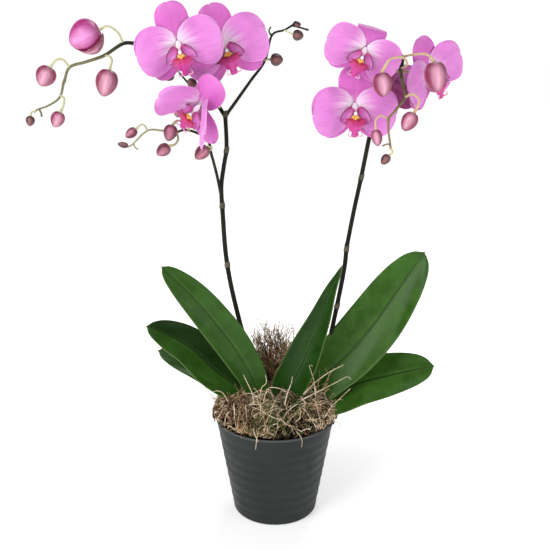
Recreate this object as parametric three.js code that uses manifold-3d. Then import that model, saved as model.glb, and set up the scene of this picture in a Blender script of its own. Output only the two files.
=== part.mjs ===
// A potted moth orchid with two flower spikes, in a ribbed cover pot.
// Millimetres, +Z up, front towards -Y. The origin is the centre of the pot's flat base.
import * as THREE from 'three';
import { mergeVertices } from 'three/addons/utils/BufferGeometryUtils.js';
import Module from 'manifold-3d';

const wasm = await Module();
wasm.setup();

// ---------------------------------------------------------------- driving dimensions

const GAP = 0.35; // clearance between two pieces that touch

const POT = { height: 111, rimRadius: 65, baseRadius: 46, wall: 3, floor: 5, sides: 24 };
const RIB = { count: 8, depth: 0.8, firstAt: 14, pitch: 11.8 };

const MEDIUM_TOP = 98;
const MULCH = { rise: 26, overhang: 7, sides: 24 };
// The heap's outline, as fractions of its radius at the rim and of its rise.
const MULCH_OUTLINE = [[1, 0], [1, 0.1], [0.97, 0.4], [0.76, 0.85], [0.42, 1], [0, 1]];
const MULCH_LUMPS = { sideways: 0.3, lower: 0.12, lumps: 5, lumpRise: 0.05, bulgeBy: 0.42 };
const TUFT = { at: [0, 38], foot: 137, top: 207, footRadius: 9, topRadius: 27, wide: 1.1, deep: 0.52 };
// The tuft's outline, as fractions of its foot's or its top's radius and of its height.
const TUFT_STALK = [[1, 0], [1.3, 0.25]];
const TUFT_HEAD = [[0.85, 0.6], [1, 0.8], [0.6, 1]];
const CROWN = {
  foot: MEDIUM_TOP + GAP, top: 134, radius: 8.5, shoulder: 16, neck: 4, wide: 1.1, deep: 0.9,
};

const LEAF_THICKNESS = 2.2;
const LEAF_ENDS = { root: 0.45, tip: 0.2 }; // how much of the outline's arch is cut off at each end
const LEAVES = [
  {
    name: 'leaf_left_upper',
    width: 39,
    fold: 0.2,
    face: [0.25, -0.85, 0.45],
    route: [
      [-7, -4, 123], [-18, -5, 140], [-28, -8, 165], [-45, -12, 196],
      [-64, -18, 225], [-85, -22, 253], [-114, -22, 284],
    ],
  },
  {
    name: 'leaf_right_inner',
    width: 29,
    lean: -0.7,
    fold: 0.6,
    face: [-0.35, -0.9, 0.15],
    route: [
      [6, -5, 122], [13, -6, 146], [24, -8, 168], [39, -8, 199],
      [49, -8, 225], [59, -4, 254], [70, 2, 278],
    ],
  },
  {
    name: 'leaf_left_middle',
    width: 46,
    fold: 0.22,
    face: [0.2, -0.75, 0.6],
    route: [[-9, 0, 116], [-33, -2, 138], [-65, 2, 161], [-90, 6, 185], [-114, 8, 199], [-137, 8, 210]],
  },
  {
    name: 'leaf_right_large',
    width: 62,
    lean: 0.08,
    fold: 0.22,
    face: [-0.25, -0.85, 0.45],
    route: [
      [9, 0, 117], [30, 2, 129], [59, 6, 158], [84, 10, 182],
      [109, 14, 212], [133, 18, 248], [159, 22, 288],
    ],
  },
  {
    name: 'leaf_left_lower',
    width: 42,
    fold: 0.2,
    face: [0.1, -0.6, 0.8],
    route: [[-9, 4, 108], [-39, 8, 136], [-74, 16, 156], [-100, 22, 166], [-128, 26, 175]],
  },
  {
    name: 'leaf_right_lower',
    width: 56,
    lean: 0.08,
    fold: 0.2,
    face: [-0.1, -0.65, 0.75],
    route: [[9, 3, 108], [36, 3, 122], [66, 2, 134], [91, 4, 145], [122, 6, 153], [172, 6, 165]],
  },
];

const STEM_RADIUS = 2.7;
const UPPER_RADIUS = 2.1;
const ARM_RADIUS = 1.6;
const PEDICEL_RADIUS = 1.1;
const RING = { swell: 1.3, height: 3 }; // swell is times the stem's radius

// Routes of the spikes. Each tube runs through its points; rings mark the nodes of the stem.
const LEFT_SPIKE = {
  stems: [
    {
      radius: STEM_RADIUS,
      step: 24,
      route: [
        [-5, 11, 120], [-12, 20, 131], [-22, 20, 149],
        [-39, 18, 214], [-51, 12, 280], [-55, 6, 349],
      ],
    },
    {
      radius: UPPER_RADIUS,
      step: 22,
      route: [[-55, 6, 347], [-55, 5, 365], [-52, 4, 385], [-49, 4, 404], [-50, 6, 437]],
    },
    {
      radius: UPPER_RADIUS,
      step: 14,
      route: [
        [-50, 6, 434], [-57, 8, 445], [-70, 8, 469],
        [-84, 6, 489], [-107, 0, 502], [-135, -8, 504],
      ],
    },
  ],
  arms: [
    [
      [-133, -8, 504], [-146, -10, 504], [-164, -14, 493],
      [-182, -16, 487], [-197, -18, 482], [-203, -19, 468],
    ],
    [[-203, -19, 469], [-208, -20, 454], [-220, -21, 446], [-229, -22, 443], [-233, -22, 440]],
    [
      [-50, 6, 434], [-38, 8, 450], [-24, 10, 469], [-10, 12, 488],
      [-3, 12, 512], [9, 12, 517], [18, 12, 522],
    ],
    [[-55, 6, 350], [-59, 1, 375], [-64, -2, 397], [-68, -6, 413], [-86, -10, 422], [-98, -14, 420]],
    [[-97, -14, 420], [-111, -16, 422], [-125, -18, 422], [-141, -20, 408], [-145.5, -21, 407.5]],
    [[-70, 8, 469], [-76, 11, 464], [-83, 12, 463], [-90, 12, 470], [-97, 11, 479], [-97, 11, 484]],
  ],
  hooks: [
    [[-129, -7, 504], [-127, -7, 507], [-124, -8, 509]],
    [[-228, -22, 443], [-226, -23, 439], [-226, -23, 436]],
    [[18, 12, 521], [26, 13, 519], [33, 14, 517]],
    [[-3, 12, 511], [-6, 12, 516], [-4, 12, 520]],
    [[17, 12, 521], [20, 12, 525], [22, 12, 523]],
    [[-139, -20, 410], [-137, -21, 406], [-134, -21, 404]],
  ],
  rings: [[0, 0.7], [0, 0.97], [1, 0.58], [1, 0.97]],
  tinyBuds: [[[-143.5, -21, 407.5], [-154, -22, 410], 6]],
};

const RIGHT_SPIKE = {
  stems: [
    {
      radius: STEM_RADIUS,
      step: 18,
      route: [
        [5, 11, 120], [15, 23, 127], [36, 27, 134], [53, 24, 149],
        [61, 20, 194], [73, 14, 267], [76, 12, 301],
      ],
    },
    {
      radius: UPPER_RADIUS,
      step: 24,
      route: [[76, 12, 299], [82, 9, 337], [88, 6, 371], [96, 4, 418], [103, 4, 450], [111, 2, 479]],
    },
    {
      radius: UPPER_RADIUS,
      step: 6,
      route: [[110.5, 2, 477], [115, -2, 488], [122, -8, 492], [122, -15, 487], [120, -22, 478]],
    },
  ],
  arms: [
    [[120, -21, 480], [121, -27, 470], [123, -34, 455], [116, -40, 446], [106, -44, 435]],
    [[107, -43.5, 436], [107, -47, 425], [109, -50, 411], [109, -51, 408]],
  ],
  hooks: [[[109, -50, 411], [106, -52, 413], [101, -52, 411]]],
  rings: [[0, 0.67], [0, 0.97], [1, 0.4], [1, 0.66]],
  tinyBuds: [],
};

// Buds: where the pedicel leaves its arm and how it bends, then the bud's base, tip and width.
const BUDS = {
  bud_left_01: {
    via: [[-146, -10, 504], [-150, -12, 514], [-159, -14, 520]],
    base: [-166, -14, 517], tip: [-196, -14, 504], width: 33,
  },
  bud_left_02: {
    via: [[-197, -18, 482], [-202, -20, 489], [-208, -22, 489]],
    base: [-214, -22, 483], tip: [-225, -22, 465], width: 20,
  },
  bud_left_03: {
    via: [[-163, -14, 493], [-158, -17, 492], [-156, -19, 488]],
    base: [-158, -20, 481], tip: [-166, -20, 455], width: 22,
  },
  bud_left_04: {
    via: [[-207, -20, 456], [-203, -23, 453], [-204, -24, 446]],
    base: [-207, -24, 441], tip: [-214, -24, 426], width: 14,
  },
  bud_left_05: {
    via: [[-231, -22, 441], [-235, -23, 440.5]],
    base: [-236, -24, 437], tip: [-238, -24, 427], width: 9,
  },
  bud_left_06: {
    via: [[-76, 11, 464], [-77, 8, 461.5]],
    base: [-80, 6, 462.5], tip: [-85, 4, 471], width: 10,
  },
  bud_left_07: {
    via: [[-96, 11, 478], [-99, 10, 479]],
    base: [-102, 8, 477], tip: [-108, 8, 469], width: 10,
  },
  bud_left_08: {
    via: [[-70, 8, 469], [-77, 8, 458], [-85, 3, 451]],
    base: [-91, -2, 447], tip: [-98, -2, 434], width: 14,
  },
  bud_left_09: {
    via: [[-65, -3, 401], [-63, -8, 405]],
    base: [-66, -12, 406], tip: [-79, -13, 394], width: 14,
  },
  bud_left_10: {
    via: [[-84, -10, 422], [-90, -17, 430], [-95, -23, 432]],
    base: [-99, -26, 429], tip: [-104, -27, 413], width: 14,
  },
  bud_left_11: {
    via: [[-97, -14, 420], [-95, -18, 414], [-98, -20, 409]],
    base: [-103, -21, 408], tip: [-116, -21, 399], width: 13,
  },
  bud_left_12: {
    via: [[-125, -18, 422], [-127, -20, 427], [-131, -20, 428]],
    base: [-135, -20, 424], tip: [-146, -20, 416], width: 10,
  },
  bud_left_13: {
    via: [[-10, 12, 488], [-8, 9, 489]],
    base: [-5, 8, 489], tip: [8, 8, 489], width: 13,
  },
  bud_left_14: {
    via: [[9, 12, 517], [13, 10, 515]],
    base: [17, 10, 513], tip: [28, 10, 511], width: 11,
  },
  bud_right_01: {
    via: [[120.5, -20, 481], [124, -32, 485], [119, -43, 491], [106, -49, 490]],
    base: [98, -50, 479], tip: [101, -50, 456], width: 19,
  },
  bud_right_02: {
    via: [[122, -10, 491.5], [131, -26, 494], [141, -40, 494]],
    base: [147, -46, 489], tip: [151, -46, 460], width: 22,
  },
  bud_right_03: {
    via: [[123, -34, 455], [130, -40, 458], [135, -45, 452]],
    base: [131, -47, 442], tip: [121, -48, 425], width: 16,
  },
  bud_right_04: {
    via: [[106, -44, 436], [99, -49, 439], [94, -52, 435]],
    base: [94, -53, 427], tip: [97, -53, 411], width: 11,
  },
  bud_right_05: {
    via: [[109, -51, 409], [111, -52, 405]],
    base: [108, -52, 403], tip: [101, -52, 394], width: 9,
  },
};

// Flowers: yaw turns the face towards +X, pitch turns it down, roll turns it clockwise.
// Droop lowers the left and right petals, cup folds them forward, and the pedicel leaves the spike at from.
const FLOWERS = {
  a: {
    at: [-89, -41, 503], from: [-126, -5, 504], size: 0.98,
    yaw: 5, pitch: 15, roll: -14, droop: [2, 2], cup: 0,
  },
  b: {
    at: [-49, -12, 502], from: [-72, 8, 471], size: 1.03,
    yaw: 8, pitch: -2, roll: -19, droop: [0, 0], cup: 0,
  },
  c: {
    at: [-72, -34, 446], from: [-55, 8, 443], size: 0.98,
    yaw: -35, pitch: 20, roll: 48, droop: [0, -22], cup: 50,
  },
  d: {
    at: [83, -34, 498], from: [111, 2, 478], size: 0.88,
    yaw: -4, pitch: 20, roll: 24, droop: [7, 7], cup: 0,
  },
  e: {
    at: [77, -18, 445], from: [96, 4, 420], size: 1.01,
    yaw: 3, pitch: 5, roll: 0, droop: [12, 12], cup: 0,
  },
  f: {
    at: [153, 8, 476], from: [111, 2, 479], size: 0.95,
    yaw: 38, pitch: 5, roll: -27, droop: [-3, -3], cup: 8,
  },
  g: {
    at: [115, 34, 462], from: [103, 4, 450], size: 0.85,
    yaw: 170, pitch: 0, roll: 10, droop: [4, 4], cup: 0,
  },
};
const PETAL = { length: 38.5, width: 47, thick: 1.2, bow: -2, root: 0.2, lean: 0.22 };
const PETAL_ROOT = [3.4, -1, 0];
const DORSAL = { length: 40, width: 32, thick: 1.2, bow: 1.5, lean: 0.12 };
const LATERAL = { length: 40, width: 26, thick: 1.2, bow: 1.5, lean: 0.12 };
const LATERAL_TURN = 130; // from straight up, to either side
const SEPAL_BACK = 1.3; // the sepals lie this far behind the petals
const HUB = { radius: 2.9, back: 3.5 };
const COLUMN = { radius: 2.3, from: [0, -2.7, 1], to: [0, -9, -3] };
const MIDLOBE = { length: 21, width: 17, thick: 1.6, root: 0.5, tip: 0.3, lean: -0.35 };
const MIDLOBE_ROOT = [0, -6, -5];
const SIDE_LOBE = { width: 9, height: 14, thick: 2.6, at: [5.6, -8, -5.5] };
const CALLUS = { radius: 3, at: [0, -7, -6] };

const COLOURS = {
  pot: 0x3c403f,
  medium: 0x4a3424,
  mulch: 0x9b9072,
  tuft: 0x7d5a40,
  crown: 0x4c6a34,
  leaf: 0x49662f,
  stem: 0x2e3024,
  sepal: 0xe57dd6,
  petal: 0xe893e0,
  lip: 0xd43c86,
  bud: 0xd590b4,
};

// ---------------------------------------------------------------- solids and meshes

const { Manifold } = wasm;

function solidOf(geometry) {
  const bare = geometry.clone();
  bare.deleteAttribute('normal');
  bare.deleteAttribute('uv');
  const merged = mergeVertices(bare, 1e-4);
  return new Manifold(new wasm.Mesh({
    numProp: 3,
    vertProperties: merged.attributes.position.array,
    triVerts: new Uint32Array(merged.index.array),
  }));
}

function join(solids) {
  return solids.reduce((whole, solid) => whole.add(solid));
}

function cutAway(solid, cutters) {
  return cutters.reduce((rest, cutter) => rest.subtract(cutter), solid);
}

function largestPiece(solid) {
  const pieces = solid.decompose();
  pieces.sort((first, second) => second.volume() - first.volume());
  return pieces[0];
}

function geometryOf(solid) {
  const { vertProperties, triVerts } = solid.getMesh();
  const geometry = new THREE.BufferGeometry();
  geometry.setAttribute('position', new THREE.BufferAttribute(vertProperties, 3));
  geometry.setIndex(new THREE.BufferAttribute(triVerts, 1));
  return geometry;
}

function meshOf(name, solid, colour, roughness) {
  const material = new THREE.MeshStandardMaterial({ color: colour, roughness, metalness: 0 });
  const mesh = new THREE.Mesh(geometryOf(solid), material);
  mesh.name = name;
  return mesh;
}

function vector(point) {
  return new THREE.Vector3(...point);
}

function curveThrough(route) {
  return new THREE.CatmullRomCurve3(route.map(vector), false, 'centripetal');
}

// ---------------------------------------------------------------- tubes

function tube(route, radius, sides, stepLength) {
  const section = new THREE.Shape();
  for (let side = 0; side < sides; side += 1) {
    const turn = (side / sides) * 2 * Math.PI;
    const corner = [radius * Math.cos(turn), radius * Math.sin(turn)];
    if (side === 0) section.moveTo(...corner);
    else section.lineTo(...corner);
  }
  const path = curveThrough(route);
  const steps = Math.max(3, Math.round(path.getLength() / stepLength));
  return solidOf(new THREE.ExtrudeGeometry(section, { steps, bevelEnabled: false, extrudePath: path }));
}

// A short collar round a stem, with its middle at a fraction of the stem's length.
function nodeRing(stem, fraction) {
  const path = curveThrough(stem.route);
  const radius = stem.radius * RING.swell;
  const collar = new THREE.CylinderGeometry(radius, radius, RING.height, 6);
  const ahead = path.getTangentAt(fraction);
  const aim = new THREE.Quaternion().setFromUnitVectors(new THREE.Vector3(0, 1, 0), ahead);
  const place = path.getPointAt(fraction);
  return solidOf(collar.applyQuaternion(aim).translate(place.x, place.y, place.z));
}

// ---------------------------------------------------------------- blades: leaves, petals, sepals

// A blade's outline, from its root at progress 0 to its tip at progress 1.
function outlineAt(progress, { width, root = 0.25, tip = 0.25, lean = 0 }) {
  const theta = root + progress * (Math.PI - root - tip);
  return {
    along: (1 - Math.cos(theta)) / 2,
    half: 0.5 * width * Math.sin(theta) * (1 - lean * Math.cos(theta)),
  };
}

// A blade that stands along +Z with its face towards -Y, bowed along its length.
function flatBlade(shape, across, steps) {
  const geometry = new THREE.BoxGeometry(2, 1, 1, across, 1, steps);
  const place = geometry.attributes.position;
  for (let i = 0; i < place.count; i += 1) {
    const { along, half } = outlineAt(place.getZ(i) + 0.5, shape);
    const bowed = (shape.bow ?? 0) * along * along + place.getY(i) * shape.thick;
    place.setXYZ(i, place.getX(i) * half, bowed, along * shape.length);
  }
  return geometry;
}

// A leaf blade along its route, folded up a little along the midrib. Spare makes it thicker and wider.
function leafSolid(leaf, spare = 0) {
  const across = 4;
  const steps = 12;
  const path = curveThrough(leaf.route);
  const face = vector(leaf.face).normalize();
  const geometry = new THREE.BoxGeometry(2, 1, 1, across, 1, steps);
  const place = geometry.attributes.position;
  for (let i = 0; i < place.count; i += 1) {
    const { along, half } = outlineAt(place.getZ(i) + 0.5, { ...LEAF_ENDS, ...leaf });
    const tangent = path.getTangentAt(along);
    const side = new THREE.Vector3().crossVectors(tangent, face).normalize();
    const back = new THREE.Vector3().crossVectors(tangent, side);
    const u = place.getX(i) * (1 + spare / half);
    const depth = place.getY(i) * (LEAF_THICKNESS + 2 * spare) - leaf.fold * u * u * half;
    const point = path.getPointAt(along);
    point.addScaledVector(tangent, 2 * spare * place.getZ(i));
    point.addScaledVector(side, u * half);
    point.addScaledVector(back, depth);
    place.setXYZ(i, point.x, point.y, point.z);
  }
  return solidOf(geometry);
}

// ---------------------------------------------------------------- pot, medium, moss, crown

function lathe(profile, sides) {
  const points = profile.map(([radius, height]) => new THREE.Vector2(radius, height));
  return new THREE.LatheGeometry(points, sides).rotateX(Math.PI / 2);
}

function potOuterRadius(height) {
  return POT.baseRadius + (POT.rimRadius - POT.baseRadius) * (height / POT.height);
}

function potInnerRadius(height) {
  return potOuterRadius(height) - POT.wall;
}

function pot() {
  const outer = [[0, 0], [POT.baseRadius - 2, 0], [potOuterRadius(2), 2]];
  for (let rib = 0; rib < RIB.count; rib += 1) {
    const crest = RIB.firstAt + rib * RIB.pitch;
    const valley = crest - RIB.pitch / 2;
    outer.push([potOuterRadius(valley) - RIB.depth, valley]);
    outer.push([potOuterRadius(crest), crest]);
  }
  outer.push([POT.rimRadius - 0.4, POT.height - 0.6], [POT.rimRadius - 0.8, POT.height]);
  const inner = [
    [potInnerRadius(POT.height) + 0.4, POT.height],
    [potInnerRadius(POT.height), POT.height - 1],
    [potInnerRadius(POT.floor), POT.floor],
    [0, POT.floor],
  ];
  return solidOf(lathe([...outer, ...inner], POT.sides));
}

function growingMedium() {
  const foot = POT.floor + GAP;
  const profile = [
    [0, foot],
    [potInnerRadius(foot) - 2 * GAP, foot],
    [potInnerRadius(MEDIUM_TOP) - 2 * GAP, MEDIUM_TOP],
    [0, MEDIUM_TOP],
  ];
  return solidOf(lathe(profile, POT.sides));
}

// The heaped moss sits inside the rim in front and behind, and bulges out over it to the sides.
function mossMulch(cutters) {
  const foot = MEDIUM_TOP + GAP;
  const overRim = POT.height + GAP;
  const rise = MULCH.rise;
  const inside = potInnerRadius(foot) - 2 * GAP;
  const brim = potInnerRadius(overRim) - 2 * GAP;
  const profile = [
    [0, foot],
    [inside, foot],
    ...MULCH_OUTLINE.map(([out, up]) => [brim * out, overRim + rise * up]),
  ];
  const geometry = lathe(profile, MULCH.sides);
  const place = geometry.attributes.position;
  for (let i = 0; i < place.count; i += 1) {
    const [x, y, z] = [place.getX(i), place.getY(i), place.getZ(i)];
    const angle = Math.atan2(y, x);
    const sideways = Math.cos(angle) ** 2;
    const lift = Math.max(0, z - overRim) / rise;
    const lumps = MULCH_LUMPS.lumpRise * Math.sin(MULCH_LUMPS.lumps * angle);
    const heap = 1 + lift * (MULCH_LUMPS.sideways * sideways - MULCH_LUMPS.lower + lumps);
    const outwards = Math.sin((Math.min(1, lift / MULCH_LUMPS.bulgeBy) * Math.PI) / 2);
    const bulge = 1 + (MULCH.overhang / brim) * sideways * sideways * outwards;
    place.setXYZ(i, x * bulge, y * bulge, lift > 0 ? overRim + lift * rise * heap : z);
  }
  return largestPiece(cutAway(solidOf(geometry), cutters));
}

function mossTuft(cutters) {
  const { foot, top, footRadius, topRadius } = TUFT;
  const tall = top - foot;
  const profile = [
    [0, foot],
    ...TUFT_STALK.map(([out, up]) => [footRadius * out, foot + tall * up]),
    ...TUFT_HEAD.map(([out, up]) => [topRadius * out, foot + tall * up]),
    [0, top],
  ];
  const geometry = lathe(profile, 14).scale(TUFT.wide, TUFT.deep, 1);
  return largestPiece(cutAway(solidOf(geometry.translate(TUFT.at[0], TUFT.at[1], 0)), cutters));
}

function crown(spare = 0) {
  const wide = CROWN.radius + spare;
  const profile = [
    [0, CROWN.foot - spare],
    [wide, CROWN.foot - spare],
    [wide, CROWN.top - CROWN.shoulder],
    [wide * 0.6, CROWN.top - CROWN.neck + spare],
    [0, CROWN.top + spare],
  ];
  return solidOf(lathe(profile, 12).scale(CROWN.wide, CROWN.deep, 1));
}

// ---------------------------------------------------------------- buds and flowers

function budSolid([base, tip, width]) {
  const length = vector(base).distanceTo(vector(tip));
  const rings = 5;
  const profile = [];
  for (let ring = 0; ring <= rings; ring += 1) {
    const along = (1 - Math.cos((ring / rings) * Math.PI)) / 2;
    const round = Math.sin((ring / rings) * Math.PI) * (1 + 0.12 * Math.cos((ring / rings) * Math.PI));
    profile.push(new THREE.Vector2(ring === 0 || ring === rings ? 0 : (width / 2) * round, along * length));
  }
  const aim = new THREE.Quaternion().setFromUnitVectors(
    new THREE.Vector3(0, 1, 0),
    vector(tip).sub(vector(base)).normalize(),
  );
  return solidOf(new THREE.LatheGeometry(profile, 8).applyQuaternion(aim).translate(...base));
}

// The pedicel ends just short of the bud that hangs on it.
function budPedicel({ via, base, tip }) {
  const short = vector(base).sub(vector(tip)).setLength(3 * GAP);
  const end = vector(base).add(short).toArray();
  return tube([...via, end], PEDICEL_RADIUS, 5, 6);
}

function sepalRing() {
  const pieces = [solidOf(new THREE.SphereGeometry(HUB.radius, 6, 4).translate(0, HUB.back, 0))];
  const sepals = [[DORSAL, 0], [LATERAL, LATERAL_TURN], [LATERAL, -LATERAL_TURN]];
  for (const [shape, turn] of sepals) {
    const blade = flatBlade(shape, 2, 3);
    pieces.push(solidOf(blade.rotateY(THREE.MathUtils.degToRad(turn)).translate(0, SEPAL_BACK, 0)));
  }
  return join(pieces);
}

function petal(side, droop, cup) {
  const forward = THREE.MathUtils.degToRad(cup);
  const blade = flatBlade(PETAL, 3, 4);
  blade.rotateX(forward).rotateY(side * THREE.MathUtils.degToRad(90 + droop));
  const [x, y, z] = PETAL_ROOT;
  return solidOf(blade.translate(side * (x + 4 * Math.sin(forward)), y, z));
}

function columnSolid() {
  const [from, to] = [vector(COLUMN.from), vector(COLUMN.to)];
  const long = to.clone().sub(from);
  const middle = from.clone().add(to).multiplyScalar(0.5);
  const ahead = long.clone().normalize();
  const aim = new THREE.Quaternion().setFromUnitVectors(new THREE.Vector3(0, 1, 0), ahead);
  const capsule = new THREE.CapsuleGeometry(COLUMN.radius, long.length(), 1, 6);
  return solidOf(capsule.applyQuaternion(aim).translate(middle.x, middle.y, middle.z));
}

// The lip: the middle lobe hangs down and forward, with an ear-shaped lobe on each side of it.
function lip() {
  const pieces = [columnSolid()];
  const lobe = flatBlade(MIDLOBE, 2, 3);
  pieces.push(solidOf(lobe.rotateX(Math.PI + 0.25).translate(...MIDLOBE_ROOT)));
  const callus = new THREE.SphereGeometry(CALLUS.radius, 5, 3).scale(1.3, 0.9, 1);
  pieces.push(solidOf(callus.translate(...CALLUS.at)));
  for (const side of [-1, 1]) {
    const { thick, width, height } = SIDE_LOBE;
    const ear = new THREE.SphereGeometry(0.5, 6, 3).scale(thick, width, height);
    const [x, y, z] = SIDE_LOBE.at;
    pieces.push(solidOf(ear.rotateY(side * 0.5).translate(side * x, y, z)));
  }
  return join(pieces);
}

function flowerGroup(key, { at, yaw, pitch, roll, droop, cup, size }) {
  const group = new THREE.Group();
  group.position.set(...at);
  group.rotation.set(...[pitch, roll, yaw].map(THREE.MathUtils.degToRad), 'ZXY');
  group.scale.setScalar(size);
  group.add(meshOf(`flower_${key}_sepals`, sepalRing(), COLOURS.sepal, 0.55));
  group.add(meshOf(`flower_${key}_petal_left`, petal(-1, droop[0], cup), COLOURS.petal, 0.5));
  group.add(meshOf(`flower_${key}_petal_right`, petal(1, droop[1], cup), COLOURS.petal, 0.5));
  group.add(meshOf(`flower_${key}_lip`, lip(), COLOURS.lip, 0.45));
  group.updateMatrix();
  return group;
}

// The pedicel comes up to the flower from straight behind its hub.
function flowerPedicel(group, from) {
  const hubBack = HUB.back + HUB.radius;
  const behind = new THREE.Vector3(0, hubBack + 10, -1).applyMatrix4(group.matrix);
  const end = new THREE.Vector3(0, hubBack + GAP + 0.1, 0).applyMatrix4(group.matrix);
  return tube([from, behind.toArray(), end.toArray()], PEDICEL_RADIUS * 1.2, 5, 9);
}

// ---------------------------------------------------------------- spikes

function spikeStems(spike, spare = 0) {
  return spike.stems.map((stem) => tube(stem.route, stem.radius + spare, 6, stem.step));
}

function spikeSolid(spike, extras) {
  const pieces = spikeStems(spike);
  for (const route of spike.arms) pieces.push(tube(route, ARM_RADIUS, 5, 12));
  for (const route of spike.hooks) pieces.push(tube(route, PEDICEL_RADIUS * 0.8, 4, 4));
  for (const [stem, fraction] of spike.rings) pieces.push(nodeRing(spike.stems[stem], fraction));
  for (const bud of spike.tinyBuds) pieces.push(budSolid(bud));
  return join([...pieces, ...extras]);
}

// ---------------------------------------------------------------- assembly

const orchid = new THREE.Group();

const flowerGroups = Object.entries(FLOWERS).map(([key, flower]) => flowerGroup(key, flower));
const flowerPedicels = flowerGroups.map((group, i) => flowerPedicel(group, Object.values(FLOWERS)[i].from));
const budPedicels = Object.values(BUDS).map(budPedicel);
const budNames = Object.keys(BUDS);

function pedicelsOf(side) {
  const flowers = side === 'left' ? flowerPedicels.slice(0, 3) : flowerPedicels.slice(3);
  return [...flowers, ...budPedicels.filter((pedicel, i) => budNames[i].startsWith(`bud_${side}`))];
}

const spikeClearance = [...spikeStems(LEFT_SPIKE, GAP), ...spikeStems(RIGHT_SPIKE, GAP)];
const crownClearance = crown(GAP);
const leafClearance = [];

orchid.add(meshOf('pot', pot(), COLOURS.pot, 0.6));
orchid.add(meshOf('growing_medium', growingMedium(), COLOURS.medium, 0.95));
orchid.add(meshOf('crown', crown(), COLOURS.crown, 0.6));

for (const leaf of LEAVES) {
  const blade = cutAway(leafSolid(leaf), [crownClearance, ...leafClearance, ...spikeClearance]);
  orchid.add(meshOf(leaf.name, largestPiece(blade), COLOURS.leaf, 0.35));
  leafClearance.push(leafSolid(leaf, GAP));
}

const plantClearance = [crownClearance, ...leafClearance, ...spikeClearance];
orchid.add(meshOf('moss_mulch', mossMulch(plantClearance), COLOURS.mulch, 0.95));
orchid.add(meshOf('moss_tuft', mossTuft(plantClearance), COLOURS.tuft, 0.95));

orchid.add(meshOf('spike_left', spikeSolid(LEFT_SPIKE, pedicelsOf('left')), COLOURS.stem, 0.5));
orchid.add(meshOf('spike_right', spikeSolid(RIGHT_SPIKE, pedicelsOf('right')), COLOURS.stem, 0.5));

for (const [name, { base, tip, width }] of Object.entries(BUDS)) {
  orchid.add(meshOf(name, budSolid([base, tip, width]), COLOURS.bud, 0.45));
}
for (const group of flowerGroups) orchid.add(group);

export default orchid;
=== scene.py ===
# A potted moth orchid: two branching flower spikes over broad leaves, moss mulch and a ribbed cover pot.
# Metres, +Z up, the front towards -Y.
import math
import random

import bmesh
import bpy
import numpy
from mathutils import Matrix, Quaternion, Vector, noise


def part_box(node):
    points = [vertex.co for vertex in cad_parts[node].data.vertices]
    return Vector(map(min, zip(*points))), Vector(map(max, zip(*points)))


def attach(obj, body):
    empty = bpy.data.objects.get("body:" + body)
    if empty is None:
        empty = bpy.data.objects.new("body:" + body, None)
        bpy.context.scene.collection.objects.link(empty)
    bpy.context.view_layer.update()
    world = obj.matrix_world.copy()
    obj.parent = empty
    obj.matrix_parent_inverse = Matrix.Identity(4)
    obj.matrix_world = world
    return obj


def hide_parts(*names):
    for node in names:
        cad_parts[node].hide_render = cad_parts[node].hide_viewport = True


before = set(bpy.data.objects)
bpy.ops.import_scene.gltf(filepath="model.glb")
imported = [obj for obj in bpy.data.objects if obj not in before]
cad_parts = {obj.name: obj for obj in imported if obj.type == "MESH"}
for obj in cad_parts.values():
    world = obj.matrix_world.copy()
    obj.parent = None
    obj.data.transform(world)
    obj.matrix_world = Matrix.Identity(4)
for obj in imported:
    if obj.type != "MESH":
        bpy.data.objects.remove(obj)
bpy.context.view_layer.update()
MM = 0.001

# ------------------------------
# The cover pot. One thin wall of dark grey stoneware-like plastic with a dull finish, moulded with
# shallow ripples all the way up. It tapers to a flat base, and its rim is a plain rounded edge.


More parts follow.
